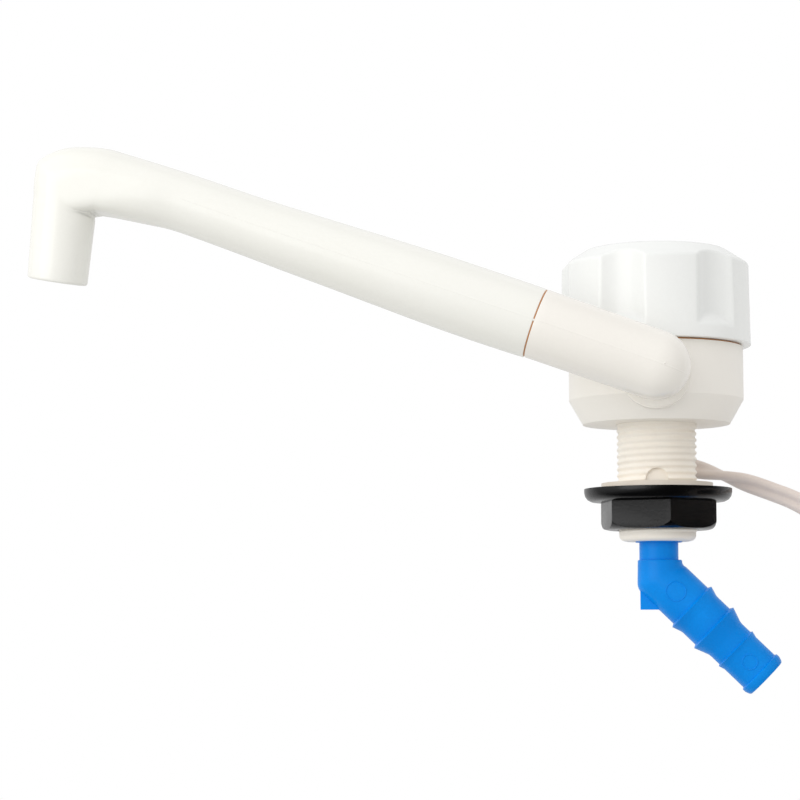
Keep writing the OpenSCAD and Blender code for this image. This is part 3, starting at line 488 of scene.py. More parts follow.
def make_lead():
    """One unbroken lead from the rear window into its coil."""
    steps = 5
    stretch = spline(LEAD_ROUTE, steps)
    route = [Vector(p[:3]) for p in stretch]
    turns = [math.radians(p[3]) for p in stretch]
    for i in range(1, COIL_STEPS * COIL_TURNS + 1):
        route.append(coil_point(360 * i / COIL_STEPS))
        turns.append(turns[-1])
    section = twin_section()
    rings = []
    for i, (centre, flat_turn) in enumerate(zip(route, turns)):
        along = (route[min(i + 1, len(route) - 1)] - route[max(i - 1, 0)]).normalized()
        swing = math.pi / 2 * min(1, i / (steps * LEAD_EXIT_POINTS))
        aside = Vector((-math.cos(swing), math.sin(swing), 0))
        if i > steps * (len(LEAD_ROUTE) - 1):
            aside = Vector((1, 0, 0)).cross(along)
        aside = (aside - aside.dot(along) * along).normalized()
        above = along.cross(aside)
        side = math.cos(flat_turn) * aside + math.sin(flat_turn) * above
        thin = along.cross(side)
        rings.append([centre + w * side + t * thin for w, t in section])
    lead = loft("twin_lead", rings)
    smooth(lead, angle=60)
    finish_piece(lead, "tap_body", "lead_sheath", "cable_lead", "cable_coil")
    make_tie()


def make_tie():
    """The strip tie round the coil: a rounded loop with its square lock."""
    low, high = (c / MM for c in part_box("cable_tie"))
    wall, edge = 1, 0.35
    tie = block("strip_tie", low, high)
    hole_low = Vector((low.x + wall, low.y - PAST, low.z + wall))
    hole_high = Vector((high.x - wall, high.y + PAST, high.z - wall))
    cut(tie, block("tie_hole", hole_low, hole_high))
    round_edges(tie, edge)
    return finish_piece(tie, "tap_body", "tie_plastic", "cable_tie")


make_lead()


# Body drum

def make_drum():
    """The drum with its bevelled foot, hollow inside, and the collar of the pivot."""
    seat_r, bevel_h, wall, floor = 19.3, 6.3, 2.3, 2.5
    pivot_r, pivot_depth = 5.45, 12
    edge, edge_angle = 0.35, 20
    inner_r = BODY_R - wall
    lid_low, lid_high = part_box("body_lid")
    drum = lathe("body_drum", [(seat_r, 0), (BODY_R, bevel_h), (BODY_R, BODY_H)])
    collar_r, step_r, step, drop = 8.95, 8.55, 0.5, 0.9
    collar = along_pivot(
        lathe("collar", [(step_r, 0), (step_r, step), (collar_r, step),
                         (collar_r, COLLAR_Y - inner_r + PAST)], RING_SIDES),
        -COLLAR_Y)
    join(drum, turn(collar, Matrix.Translation((0, 0, -drop))))
    cut(drum, lathe("cavity", [(seat_r - wall, floor), (inner_r, bevel_h + wall), (inner_r, BODY_H + PAST)]))
    lid_r = lid_high.x / MM + FIT
    cut(drum, lathe("lid_seat", [(lid_r, lid_low.z / MM), (lid_r, BODY_H + PAST)]))
    cut(drum, lathe("stem_hole", [(STEM_R + FIT, -PAST), (STEM_R + FIT, floor + PAST)]))
    pivot_hole = lathe("pivot_hole", [(pivot_r, 0), (pivot_r, pivot_depth)], BORE_SIDES)
    cut(drum, along_pivot(pivot_hole, -COLLAR_Y - PAST))
    round_edges(drum, edge, edge_angle)
    finish_piece(drum, "tap_body", "body_plastic", "body_shell")
    # A tan ring painted into the gap between the drum and the knob: painted shade and glow, where the shaded gap
    # shows the light seeping through the plastic
    ring_r, hole_r, ring_play, ring_edge = BODY_R - 0.6, inner_r + 0.1, 0.08, 0.08
    ring = lathe("painted_gap_ring", [(ring_r, BODY_H), (ring_r, KNOB_Z - ring_play)])
    cut(ring, lathe("ring_hole", [(hole_r, BODY_H - PAST), (hole_r, KNOB_Z + PAST)]))
    round_edges(ring, ring_edge)
    finish_piece(ring, "tap_body", "body_plastic", finish=GAP_GLOW_PAINT)


make_drum()


# Knob

# The flutes' number, their radius, how far their axes lie from the knob's, and the angle of the first
FLUTES = 6
FLUTE_R = 10.54
FLUTE_AXIS_R = 32.79
FLUTE_TURN = math.radians(-110)
# The shoulder between the tapered side and the sloping crown, and the crown's radius at the top
SHOULDER_Z = 42.0
SHOULDER_R = 24.7
CROWN_R = 18.7
# The flute's foot slopes in above the skirt: its depth and height
FOOT_Z = KNOB_Z + 3.4
FOOT_SLOPE = (3.3, 3.9)
# Blends of the mould: at the flutes' edges, in their feet and round the shoulder
EDGE_BLEND = 0.5
FOOT_BLEND = 0.35
SHOULDER_BLEND = 0.7
KNOB_SIDES = 360
KNOB_STEP = 0.4


def blend_low(a, b, width):
    """The lower of two values, rounded where they cross."""
    h = max(width - abs(a - b), 0) / width
    return min(a, b) - h * h * width / 4


def blend_high(a, b, width):
    return -blend_low(-a, -b, width)


def between(value, start, end):
    """How far a value lies from one point (place, result) to another, as a result."""
    return start[1] + (end[1] - start[1]) * (value - start[0]) / (end[0] - start[0])


def turned_radius(z):
    """The knob's radius before its flutes: a tapered side and a sloping crown."""
    side = between(z, (KNOB_Z, KNOB_R), (SHOULDER_Z, SHOULDER_R))
    crown = between(z, (SHOULDER_Z, SHOULDER_R), (KNOB_TOP_Z, CROWN_R))
    return blend_low(side, crown, SHOULDER_BLEND)


def foot_radius(z):
    """The radius to which a flute's foot stands at a height."""
    return between(z - FOOT_Z, (0, KNOB_R), (FOOT_SLOPE[1], KNOB_R - FOOT_SLOPE[0]))


def flute_radius(angle):
    """The distance from the knob's axis to the wall of the nearest flute."""
    pitch = 2 * math.pi / FLUTES
    off = math.remainder(angle - FLUTE_TURN, pitch)
    aside = FLUTE_AXIS_R * math.sin(off)
    if abs(aside) >= FLUTE_R:
        return FLUTE_AXIS_R
    return FLUTE_AXIS_R * math.cos(off) - math.sqrt(FLUTE_R ** 2 - aside ** 2)


def knob_ring(z, inset=0.0):
    ring = []
    for j in range(KNOB_SIDES):
        angle = 2 * math.pi * j / KNOB_SIDES
        hollow = blend_high(flute_radius(angle), foot_radius(z), FOOT_BLEND)
        r = blend_low(turned_radius(z), hollow, EDGE_BLEND) - inset
        ring.append((r * math.cos(angle), r * math.sin(angle), z))
    return ring


def make_knob():
    """The knob: a cup with six finger flutes that run out above a plain skirt, and a seat for its cap."""
    rim, lip = 0.15, 0.4
    lip_round = ((-0.13, 0.2), (0, 1))
    rings = [knob_ring(KNOB_Z + along * rim, inset * rim) for along, inset in QUARTER_ROUND]
    side = KNOB_TOP_Z - KNOB_Z - rim - lip
    count = round(side / KNOB_STEP)
    rings += [knob_ring(KNOB_Z + rim + side * i / count) for i in range(count + 1)]
    rings += [knob_ring(KNOB_TOP_Z + along * lip, inset * lip) for along, inset in lip_round]
    knob = loft("knob_grip", rings)
    cap_low, cap_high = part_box("knob_cap")
    cavity_r, roof, cap_play, cap_edge = 20.3, 3.2, 0.1, 0.15
    cut(knob, lathe("knob_cavity", [(cavity_r, KNOB_Z - PAST), (cavity_r, cap_low.z / MM - roof)]))
    cap_r = cap_high.x / MM + cap_play
    cut(knob, lathe("cap_seat", [(cap_r, cap_low.z / MM), (cap_r, KNOB_TOP_Z - cap_edge),
                                 (cap_r + cap_edge, KNOB_TOP_Z), (cap_r + cap_edge, KNOB_TOP_Z + PAST)]))
    smooth(knob, angle=40)
    finish_piece(knob, "knob_body", "knob_plastic", "knob")


make_knob()


# Elbow and spout

# Angles round the arm, closer together at the ridge that the mould's parting leaves along its front
RIDGE_ANGLE = math.radians(270)
RIDGE_HEIGHT = 0.07
RIDGE_WIDTH = 0.02
ARM_ANGLES = sorted([2 * math.pi * j / BORE_SIDES for j in range(BORE_SIDES)]
                    + [RIDGE_ANGLE + k * RIDGE_WIDTH for k in (-2, -1.4, -0.7, 0.7, 1.4, 2)])


def arm_point(u, v, y):
    """A point given along, above and across the arm, as a place in the part's frame."""
    return PIVOT + ARM_U * u + ARM_V * v + Vector((0, y, 0))


def squared(value, power):
    """A sine or cosine, drawn out from a circle's, whose power is 2, towards a square's."""
    return math.copysign(abs(value) ** (2 / power), value)


def arm_ring(inner, outer, half_w, wall=0.0, ridge=0.0, square=2.0):
    """An oval ring across the arm's plane, between its inner and outer points (u, v).

    A ridge stands on its front where the two halves of the mould met, and its inner half may be squared."""
    middle = [(a + b) / 2 for a, b in zip(inner, outer)]
    reach = [(b - a) / 2 for a, b in zip(inner, outer)]
    length = math.hypot(*reach)
    ring = []
    for a in ARM_ANGLES:
        proud = ridge * math.exp(-((a - RIDGE_ANGLE) / RIDGE_WIDTH) ** 2)
        power = square if math.cos(a) < 0 else 2
        up = (1 - (wall - proud) / length) * squared(math.cos(a), power)
        ring.append(arm_point(middle[0] + reach[0] * up, middle[1] + reach[1] * up,
                              (half_w - wall + proud) * squared(math.sin(a), power)))
    return ring


# The elbow's plug inside the spout
PLUG_R = 6.3
PLUG_LEN = 14
# The gap that shows at the seam, and the elbow's rounded edge beside it: how far back, and how far in
SEAM_GAP = 0.3
SEAM_EDGE = ((0.4, 0), (0.08, 0.06), (0, 0.3))
# The ridge stops where the elbow's round end gets smaller than this
RIDGE_LEAST_R = 4
# A moulding pip on the elbow's round front
PIP_PLACE = PIVOT + Vector((2.3, -8.35, -0.5))


def nib(place):
    """A tiny round nib, as a mould leaves."""
    radius, sides = 0.3, 24
    angles = [k / 2 for k in range(-3, 4)]
    piece = lathe("nib", [(radius * math.cos(a), radius * math.sin(a)) for a in angles], sides)
    return turn(piece, Matrix.Translation(place))


def make_elbow():
    """The elbow: a round-ended arm with its neck to the pivot and the plug inside the spout."""
    end_r, seam_r, neck_r = 8.75, 9.0, 7.5
    end_rings, arm_rings = 16, 12
    shape = []
    for i in range(end_rings):
        a = math.pi / 2 * (1 - (i + 0.5) / end_rings)
        shape.append((-end_r * math.sin(a), end_r * math.cos(a)))
    shape += [(SEAM_U * i / arm_rings, end_r + (seam_r - end_r) * i / arm_rings) for i in range(arm_rings)]
    shape += [(SEAM_U - SEAM_GAP - back, seam_r - inset) for back, inset in SEAM_EDGE]
    shape += [(SEAM_U - SEAM_GAP, PLUG_R), (SEAM_U + PLUG_LEN, PLUG_R)]
    elbow = loft("elbow_shell", [arm_ring((u, -r), (u, r), r, ridge=RIDGE_HEIGHT if r > RIDGE_LEAST_R else 0)
                                 for u, r in shape])
    neck_play, bore_r, bore_len, bore_from = 0.3, 5.42, 12, 4
    neck_len = -PIVOT.y - COLLAR_Y - neck_play
    join(elbow, along_pivot(lathe("neck", [(neck_r, 0), (neck_r, neck_len)], RING_SIDES), PIVOT.y))
    cut(elbow, along_pivot(lathe("neck_bore", [(bore_r, 0), (bore_r, bore_len)], BORE_SIDES),
                           PIVOT.y + bore_from))
    ring_r, nib_v = seam_r - 0.2, -0.3
    for place in (PIP_PLACE, arm_point(SEAM_U - SEAM_GAP / 2, nib_v, -ring_r)):
        gather(elbow, nib(place))
    smooth(elbow, angle=30)
    finish_piece(elbow, "spout_body", "spout_plastic", "elbow", finish=ABS_ELBOW)
    # A tan ring painted into the gap at the seam: painted shade and glow, where the shaded gap shows the light
    # seeping through the plastic
    ring_hole_r = PLUG_R + FIT
    ring = loft("painted_seam_ring", [arm_ring((u, -r), (u, r), r) for u, r in
                              [(SEAM_U - SEAM_GAP, ring_hole_r), (SEAM_U - SEAM_GAP, ring_r),
                               (SEAM_U, ring_r), (SEAM_U, ring_hole_r)]], closed=True)
    smooth(ring)
    finish_piece(ring, "spout_body", "spout_plastic", finish=GAP_GLOW_PAINT)


# Crown and belly along the spout, and how square the belly is; then the reach to the bend's back round
# its inner corner, as shares
SPOUT_R = 9.1
SPOUT_LEN = 116.1
SPOUT_SHAPE = [
    (0, 1, -1.02, 2), (0.12, 0.99, -1.05, 2), (0.228, 0.973, -1.045, 2), (0.336, 0.934, -1.017, 2),
    (0.448, 0.881, -0.983, 2), (0.556, 0.834, -0.958, 2), (0.663, 0.797, -0.923, 2),
    (0.775, 0.789, -0.901, 2), (0.836, 0.78, -0.91, 2.1), (0.887, 0.762, -0.985, 2.4),
    (0.939, 0.739, -1.06, 3.2), (0.97, 0.725, -1.095, 4.6),
]
BEND_CORNER = (148.0, -11.5)
BEND_R = 21
BEND_SHAPE = [
    (90, 0.855), (72, 0.862), (58, 0.895), (42, 0.96), (30, 1), (23, 1.005), (14, 0.929), (0, 0.833),
    (-8, 0.81), (-12.8, 0.8),
]
# Inside the bend the arm's belly, which is as square as this, runs straight on at an angle and lies this
# much above the corner
BEND_SQUARE = 7
BELLY_LEAN = 28
BELLY_LIFT = 1.0
# Half the bend's width, and how far its skin stays from the corner
BEND_HALF_W = 7.9
BEND_PINCH = 0.3
# Lengths along the spout over which its width eases into the bend's
EASE_FROM = 128
EASE_LEN = 18
# The round tip's radius, length and lean, and how far below the bend it starts
TIP_R = 7.8
TIP_LEN = 17.8
TIP_LEAN = 12.8
TIP_START = 0.7
# The lean and the rake of its mouth, the rounding of the mouth's edge, and the wall
MOUTH_LEAN = 10.3
MOUTH_RAKE = 8
MOUTH_EDGE = 0.7
SPOUT_WALL = 2.0
# The scene's skin lies this far inside the solid, so that the mould ridge stays within it
SKIN = 0.08


def corner_point(angle, reach):
    a = math.radians(angle)
    return (BEND_CORNER[0] + reach * math.cos(a), BEND_CORNER[1] + reach * math.sin(a))


def spout_stations():
    """Inner point, outer point, half width and squareness of every ring from the seam to the bend."""
    stations = []
    for share, crown, belly, square in spline(SPOUT_SHAPE, steps=4):
        u = SEAM_U + share * SPOUT_LEN
        top, bottom = crown * SPOUT_R, belly * SPOUT_R
        ease = smooth_step((u - EASE_FROM) / EASE_LEN)
        half_w = (top - bottom) / 2 * (1 - ease) + BEND_HALF_W * ease
        stations.append(((u, bottom), (u, top), half_w, square))
    return stations


def bend_ring(angle, reach):
    """A ring of the bend on a plane through its inner corner.

    Its back is oval; inside it runs along the arm's belly or the tip's wall, whichever is nearer."""
    half_h = (reach - SKIN - BEND_PINCH) / 2
    belly_h = (BEND_SHAPE[0][1] * BEND_R - BEND_PINCH) / 2
    tip_h = (BEND_SHAPE[-1][1] * BEND_R - BEND_PINCH) / 2
    least = 0.01
    belly_share = max(least, math.sin(math.radians(angle + BELLY_LEAN)))
    tip_share = max(least, math.cos(math.radians(angle + TIP_LEAN)))
    ring = []
    for a in ARM_ANGLES:
        inside = math.cos(a) < 0
        y = squared(math.sin(a), BEND_SQUARE if inside else 2)
        away = BEND_PINCH + half_h * (1 + math.cos(a))
        if inside:
            belly = (BELLY_LIFT + belly_h * (1 + squared(math.cos(a), BEND_SQUARE))) / belly_share
            side = (BEND_PINCH + tip_h * (1 - math.sqrt(max(0, 1 - y * y)))) / tip_share
            away = min(BEND_PINCH + half_h, belly, side)
        u, v = corner_point(angle, away)
        ring.append(arm_point(u, v, (BEND_HALF_W - SKIN) * y))
    return ring


def tip_rings(wall):
    """Rings down the tip to its mouth, whose rear edge is drawn up, with a rounded lip."""
    lean, mouth_lean = math.radians(TIP_LEAN), math.radians(MOUTH_LEAN)
    down = ARM_U * -math.sin(lean) + ARM_V * -math.cos(lean)
    rake = math.tan(math.radians(MOUTH_RAKE))
    first = (corner_point(-TIP_LEAN, BEND_PINCH), corner_point(-TIP_LEAN, BEND_SHAPE[-1][1] * BEND_R))
    start = corner_point(-TIP_LEAN, TIP_R)
    centre = (start[0] - TIP_LEN * math.sin(lean), start[1] - TIP_LEN * math.cos(lean))
    reach = (TIP_R * math.cos(mouth_lean), -TIP_R * math.sin(mouth_lean))
    last = ((centre[0] - reach[0], centre[1] - reach[1]), (centre[0] + reach[0], centre[1] + reach[1]))
    edge = MOUTH_EDGE / TIP_LEN
    rings = []
    shape = [(share, 0) for share in (TIP_START / TIP_LEN, 0.25, 0.5, 0.75, 1 - edge)]
    shape += [(1 - along * edge, inset * MOUTH_EDGE) for along, inset in reversed(QUARTER_ROUND)]
    for share, inset in shape:
        inner, outer = ([a + (b - a) * share for a, b in zip(p, q)] for p, q in zip(first, last))
        half_w = BEND_HALF_W + (TIP_R - BEND_HALF_W) * share
        ring = arm_ring(inner, outer, half_w, wall if wall else inset + SKIN)
        rings.append([p - down * ((p.y - PIVOT.y) * rake * share) for p in ring])
    return rings


def make_spout():
    """The spout: a drawn-out tube that thins to its waist, turns down at a sharp inner corner and opens."""
    stations = spout_stations()
    lip, lip_len, chamfer = 0.3, 0.08, 0.06
    seam_top, seam_bottom = SPOUT_SHAPE[0][1] * SPOUT_R, SPOUT_SHAPE[0][2] * SPOUT_R
    seam_half_w = (seam_top - seam_bottom) / 2
    outer = [arm_ring((SEAM_U, seam_bottom), (SEAM_U, seam_top), seam_half_w, lip),
             arm_ring((SEAM_U + lip_len, seam_bottom), (SEAM_U + lip_len, seam_top), seam_half_w,
                      SKIN + chamfer)]
    outer += [arm_ring(i, o, w, SKIN, RIDGE_HEIGHT if i[0] < EASE_FROM else 0, square)
              for i, o, w, square in stations[1:]]
    bend = spline(BEND_SHAPE, steps=6)
    outer += [bend_ring(angle, share * BEND_R) for angle, share in bend] + tip_rings(0)
    socket_r, socket_end, blend_len = PLUG_R + 2 * FIT, SEAM_U + PLUG_LEN + FIT, 3
    bore = [arm_ring((u, -socket_r), (u, socket_r), socket_r) for u in (SEAM_U, socket_end)]
    bore += [arm_ring(i, o, w, SPOUT_WALL) for i, o, w, _ in stations if i[0] > socket_end + blend_len]
    bore += [arm_ring(corner_point(angle, BEND_PINCH), corner_point(angle, share * BEND_R), BEND_HALF_W,
                      SPOUT_WALL) for angle, share in bend]
    bore += tip_rings(SPOUT_WALL)
    spout = loft("spout_shell", outer + bore[::-1], closed=True)
    smooth(spout, angle=40)
    finish_piece(spout, "spout_body", "spout_plastic", "spout")


make_elbow()
make_spout()


# Stem and nut

# The thread, with the share of its crest and root that is left flat
THREAD_PITCH = 1.69
THREAD_DEPTH = 0.46
THREAD_FLAT = 0.06
RINGS_PER_TURN = 12
# The stem's windows: the side, the crown's height and the floor, which is blind in front and open behind
WINDOWS = ((-1, -12.0, 9.0), (1, -5.0, 7.0))
WINDOW_HALF_W = 2.95


def thread_radius(z, angle):
    """The stem's radius at a height and an angle: a rounded pipe thread that climbs with the turn."""
    phase = (z / THREAD_PITCH - angle / (2 * math.pi)) % 1.0
    ramp = abs(2 * phase - 1)
    return STEM_R - THREAD_DEPTH * smooth_step((ramp - THREAD_FLAT) / (1 - 2 * THREAD_FLAT))


def stem_ring(radius, z):
    """A ring of the stem; its radius is one value, or one for each side."""
    radii = radius if isinstance(radius, list) else [radius] * BORE_SIDES
    angles = [2 * math.pi * j / BORE_SIDES for j in range(BORE_SIDES)]
    return [(r * math.cos(a), r * math.sin(a), z) for r, a in zip(radii, angles)]


def make_stem():
    """The stem with its real thread, arched windows, flange inside the drum and rounded nose."""
    bore_r, socket_r, web_z = 8.2, 5.55, -18.0
    nose_r, nose_h, centre_r = 8.3, 2.0, 0.0076
    flange_r, floor = 12.5, 2.5
    nose_z = STEM_Z + nose_h
    thread_top, fade_turns = -0.02, 0.7
    root = STEM_R - THREAD_DEPTH
    nose = [(centre_r, 0), (nose_r, 0), (root - 0.75, 0.3), (root - 0.25, 0.75), (root, 1.3), (root, nose_h)]
    rings = [stem_ring(r, STEM_Z + rise) for r, rise in nose]
    count = int((thread_top - nose_z) / THREAD_PITCH * RINGS_PER_TURN)
    for i in range(1, count + 1):
        z = nose_z + (thread_top - nose_z) * i / count
        fade = smooth_step((z - nose_z) / (fade_turns * THREAD_PITCH))
        full = smooth_step((z + THREAD_PITCH) / THREAD_PITCH)
        radii = []
        for j in range(BORE_SIDES):
            r = root + (thread_radius(z, 2 * math.pi * j / BORE_SIDES) - root) * fade
            radii.append(r + (STEM_R - r) * full)
        rings.append(stem_ring(radii, z))
    head = [(STEM_R, floor), (flange_r, floor), (flange_r, STEM_TOP_Z), (0.01, STEM_TOP_Z)]
    rings += [stem_ring(r, z) for r, z in head]
    stem = loft("stem_thread", rings)
    cut(stem, lathe("stem_bore", [(bore_r, web_z), (bore_r, STEM_TOP_Z + PAST)], BORE_SIDES))
    cut(stem, lathe("stem_socket", [(socket_r, STEM_Z - PAST), (socket_r, web_z + PAST)], BORE_SIDES))
    for side, crown_z, floor_y in WINDOWS:
        cut(stem, window_cutter(side, crown_z, web_z + 0.5, floor_y))
    smooth(stem, angle=50)
    finish_piece(stem, "tap_body", "stem_plastic", "threaded_stem")


def window_cutter(side, crown_z, foot_z, floor_y):
    """An arch-topped window in one side of the stem, as deep as its floor."""
    half_w, arch_steps = WINDOW_HALF_W, 24
    outline = [(half_w * math.cos(a), crown_z - half_w + half_w * math.sin(a))
               for a in (math.pi * i / arch_steps for i in range(arch_steps + 1))]
    outline += [(-half_w, foot_z), (half_w, foot_z)]
    rings = [[(x, y, z) for x, z in outline] for y in (side * (STEM_R + 2), side * floor_y)]
    return loft("window", rings)


# The nut's play on the thread lets it sit a little to one side
NUT_ASIDE = 0.2


def make_nut():
    """The flanged back nut: a turned flange, and a hexagon whose lower corners are turned away."""
    hex_r, turned = 15.9, math.radians(11.5)
    edge, edge_angle = 0.35, 25
    lip = [(NUT_R, 0), (NUT_R, 1), (NUT_R - 0.25, 2), (NUT_R - 0.85, 2.8), (NUT_R - 1.75, 3.3),
           (hex_r - 0.9, 3.5)]
    nut = lathe("nut", [(r, NUT_TOP_Z - drop) for r, drop in lip])
    body = lathe("hexagon", [(hex_r, NUT_Z), (hex_r, NUT_TOP_Z - 1)], 6)
    turn(body, Matrix.Rotation(turned, 4, "Z"))
    flat_r = hex_r * math.cos(math.pi / 6)
    corner = [(flat_r - 0.6, 0), (flat_r + 0.4, 0.25), (flat_r + 1.3, 0.8), (hex_r - 0.2, 1.6),
              (hex_r + 0.2, 2.6), (hex_r + 0.2, NUT_TOP_Z - NUT_Z)]
    combine(body, lathe("chamfer", [(r, NUT_Z + rise) for r, rise in corner]), "INTERSECT")
    join(nut, body)
    turn(nut, Matrix.Translation((NUT_ASIDE, 0, 0)))
    cut(nut, lathe("nut_bore", [(STEM_R + FIT, NUT_Z - PAST), (STEM_R + FIT, NUT_TOP_Z + PAST)], RING_SIDES))
    round_edges(nut, edge, edge_angle)
    finish_piece(nut, "tap_body", "nut_plastic", "back_nut")


make_stem()
make_nut()


# Hose tail

# The tail's corner and turn, its radii, and the places of the barbs along its leg
TAIL_CORNER_Z = STEM_Z - 8.9
TAIL_TURN = math.radians(45.7)
TAIL_INNER_R = 1.6
TAIL_LEG_R = 6.5
TAIL_CORE_R = 5.85
TAIL_UPRIGHT_R = 5.8
TAIL_NECK_R = 5.1
TAIL_NECK_LEN = 4.8
BARB_R = 7.4
BARBS = (11.7, 19.5, 27.3)
END_BARB_R = 6.35
TAIL_LEG = 38.2
LEG_WAY = Vector((math.sin(TAIL_TURN), 0, -math.cos(TAIL_TURN)))
# How far the bend's outer corner is rounded
MITRE_BLEND = 1.2
# Raised circles on the front of the leg: how far along, their radius and the leg's radius there
TAIL_MARKS = ((6.0, 2.55, TAIL_LEG_R), (32.1, 1.95, TAIL_CORE_R))
# The moulding sits a little off the stem's axis, and its upright a little more
TAIL_ASIDE = 0.25
UPRIGHT_ASIDE = 0.25


def tail_ring(centre, way, radius, tall=None):
    """A ring across the tail's centre line, which lies in the XZ plane; in that plane it may be taller."""
    across = Vector((0, 1, 0)).cross(way) * (tall or radius)
    centre = centre + Vector((TAIL_ASIDE, 0, 0))
    angles = [2 * math.pi * j / BORE_SIDES for j in range(BORE_SIDES)]
    return [centre + across * math.cos(a) + Vector((0, radius * math.sin(a), 0)) for a in angles]


def leg_ring(along, radius):
    return tail_ring(Vector((0, 0, TAIL_CORNER_Z)) + LEG_WAY * along, LEG_WAY, radius)


def bend_rings(first_r, last_r, steps=24):
    """Rings round the bend from the upright to the leg: tight inside, nearly mitred outside."""
    inner = TAIL_INNER_R + TAIL_LEG_R
    middle = Vector((inner, 0, TAIL_CORNER_Z + inner * math.tan(TAIL_TURN / 2)))
    rings = []
    for i in range(steps + 1):
        a = TAIL_TURN * i / steps
        radius = first_r + (last_r - first_r) * i / steps
        near = inner - radius
        far = blend_low((inner + first_r) / math.cos(a), (inner + last_r) / math.cos(TAIL_TURN - a),
                        MITRE_BLEND)
        way = Vector((math.sin(a), 0, -math.cos(a)))
        centre = middle + (near + far) / 2 * Vector((-math.cos(a), 0, -math.sin(a)))
        centre.x += UPRIGHT_ASIDE * (1 - i / steps)
        rings.append(tail_ring(centre, way, radius, (far - near) / 2))
    return rings


def surface_ring(along, radius, carrier_r):
    """A fine raised circle, as an ejector leaves, lying on the front of the leg."""
    bead, steps, sides = 0.16, 72, 8
    across = LEG_WAY.cross(Vector((0, 1, 0)))
    rings = []
    for i in range(steps):
        a = 2 * math.pi * i / steps
        ring = []
        for j in range(sides):
            b = 2 * math.pi * j / sides
            reach = radius + bead * math.cos(b)
            round_leg = reach * math.sin(a) / carrier_r
            r = carrier_r + bead * math.sin(b)
            ring.append(Vector((TAIL_ASIDE, 0, TAIL_CORNER_Z)) + LEG_WAY * (along + reach * math.cos(a))
                        + across * r * math.sin(round_leg) + Vector((0, -r * math.cos(round_leg), 0)))
        rings.append(ring)
    return loft("ejector_mark", rings, closed=True)


def make_tail():
    """The blue tail: neck, bend, square web and the barbed leg with its end ring."""
    down = Vector((0, 0, -1))
    plug_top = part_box("hose_tail")[1].z / MM
    plug_r, flange_r, flange_t = 5.5, 6.1, 0.25
    shoulder_z = STEM_Z - TAIL_NECK_LEN
    upright = [(plug_r, plug_top, 0), (plug_r, STEM_Z, 0), (flange_r, STEM_Z, 0),
               (flange_r, STEM_Z - flange_t + 0.1, 0), (flange_r - 0.1, STEM_Z - flange_t, 0),
               (TAIL_NECK_R, STEM_Z - flange_t - 0.02, 0), (TAIL_NECK_R, shoulder_z, 0),
               (TAIL_UPRIGHT_R - 0.2, shoulder_z - 0.03, 1), (TAIL_UPRIGHT_R, shoulder_z - 0.25, 1)]
    rings = [tail_ring(Vector((UPRIGHT_ASIDE * off, 0, z)), down, r) for r, z, off in upright]
    rings += bend_rings(TAIL_UPRIGHT_R, TAIL_LEG_R)
    ring_at = TAIL_LEG - 2.4
    barb = [(TAIL_LEG_R, -0.45), (BARB_R - 0.12, 0), (BARB_R, 0.1), (BARB_R - 0.1, 0.25)]
    shapes = (
        (BARBS[0], barb + [(TAIL_LEG_R + 0.1, 2.4), (TAIL_LEG_R, 3)]),
        (BARBS[1], barb + [(TAIL_CORE_R + 0.12, 3.8), (TAIL_CORE_R, 4.6)]),
        (BARBS[2], [(TAIL_CORE_R, -0.25), (END_BARB_R - 0.1, 0), (END_BARB_R, 0.1), (END_BARB_R - 0.1, 0.22),
                    (TAIL_CORE_R, 1.7)]),
        (ring_at, [(TAIL_CORE_R, -0.2), (END_BARB_R - 0.1, 0), (END_BARB_R, 0.12), (END_BARB_R, 1)]),
        (TAIL_LEG, [(TAIL_CORE_R + 0.1, -0.3), (TAIL_CORE_R - 0.2, 0)]),
    )
    rings += [leg_ring(at + along, r) for at, shape in shapes for r, along in shape]
    leg_bore, neck_bore, mouth = 3.7, 3.4, 0.3
    rings += [leg_ring(TAIL_LEG, leg_bore + mouth), leg_ring(TAIL_LEG - mouth, leg_bore)]
    rings += bend_rings(neck_bore, leg_bore)[::-1]
    rings.append(tail_ring(Vector((0, 0, plug_top)), down, neck_bore))
    tail = loft("barbed_tail", rings, closed=True)
    web_side, web_foot, web_half = -4.7, TAIL_CORNER_Z - 8.9, 1.5
    web = [(web_side, TAIL_CORNER_Z - 1.4), (web_side, web_foot), (0.6, web_foot),
           (-3.4, TAIL_CORNER_Z - 3.5)]
    join(tail, loft("web", [[(x, y, z) for x, z in web] for y in (-web_half, web_half)]))
    for mark in TAIL_MARKS:
        gather(tail, surface_ring(*mark))
    smooth(tail, angle=32)
    finish_piece(tail, "tap_body", "tail_plastic", "hose_tail")


make_tail()


# Studio

# The floor's width and its distance below the part, in metres
FLOOR_SIZE = 4
FLOOR_DROP = 0.25
# Where the room's light comes from, and its least and greatest strength as light and in reflections; those
# start and end at these cosines from its side
BRIGHT_SIDE = Vector((-0.75, -0.4, 0.5)).normalized()
ROOM_LIGHT = (0.84, 0.97)
ROOM_GLOSS = (0.06, 1.0)
GLOSS_COSINES = (0.3, 0.95)
# Reflections also show the white backdrop, which starts and ends at these cosines
BACKDROP = Vector((0, 1, 0))
BACKDROP_GLOSS = 0.85
BACKDROP_COSINES = (0.1, 0.5)


def pale_ground(name):
    """A matt pale floor, faintly uneven, that takes the object's soft shadow."""
    patch_mm = 1000 / 3
    material, tree, place = new_material(name)
    drift = add_node(tree, "ShaderNodeTexNoise", {"Scale": 1 / (patch_mm * MM), "Detail": 2},
                     {"Vector": place})
    tint = add_node(tree, "ShaderNodeValToRGB", links={"Fac": drift.outputs["Fac"]})
    tint.color_ramp.elements[0].color = linear("#CECECC")
    tint.color_ramp.elements[1].color = linear("#D5D5D3")
    pale = add_node(tree, "ShaderNodeBsdfDiffuse", links={"Color": tint.outputs["Color"]})
    add_node(tree, "ShaderNodeOutputMaterial", links={"Surface": pale.outputs["BSDF"]})
    return material


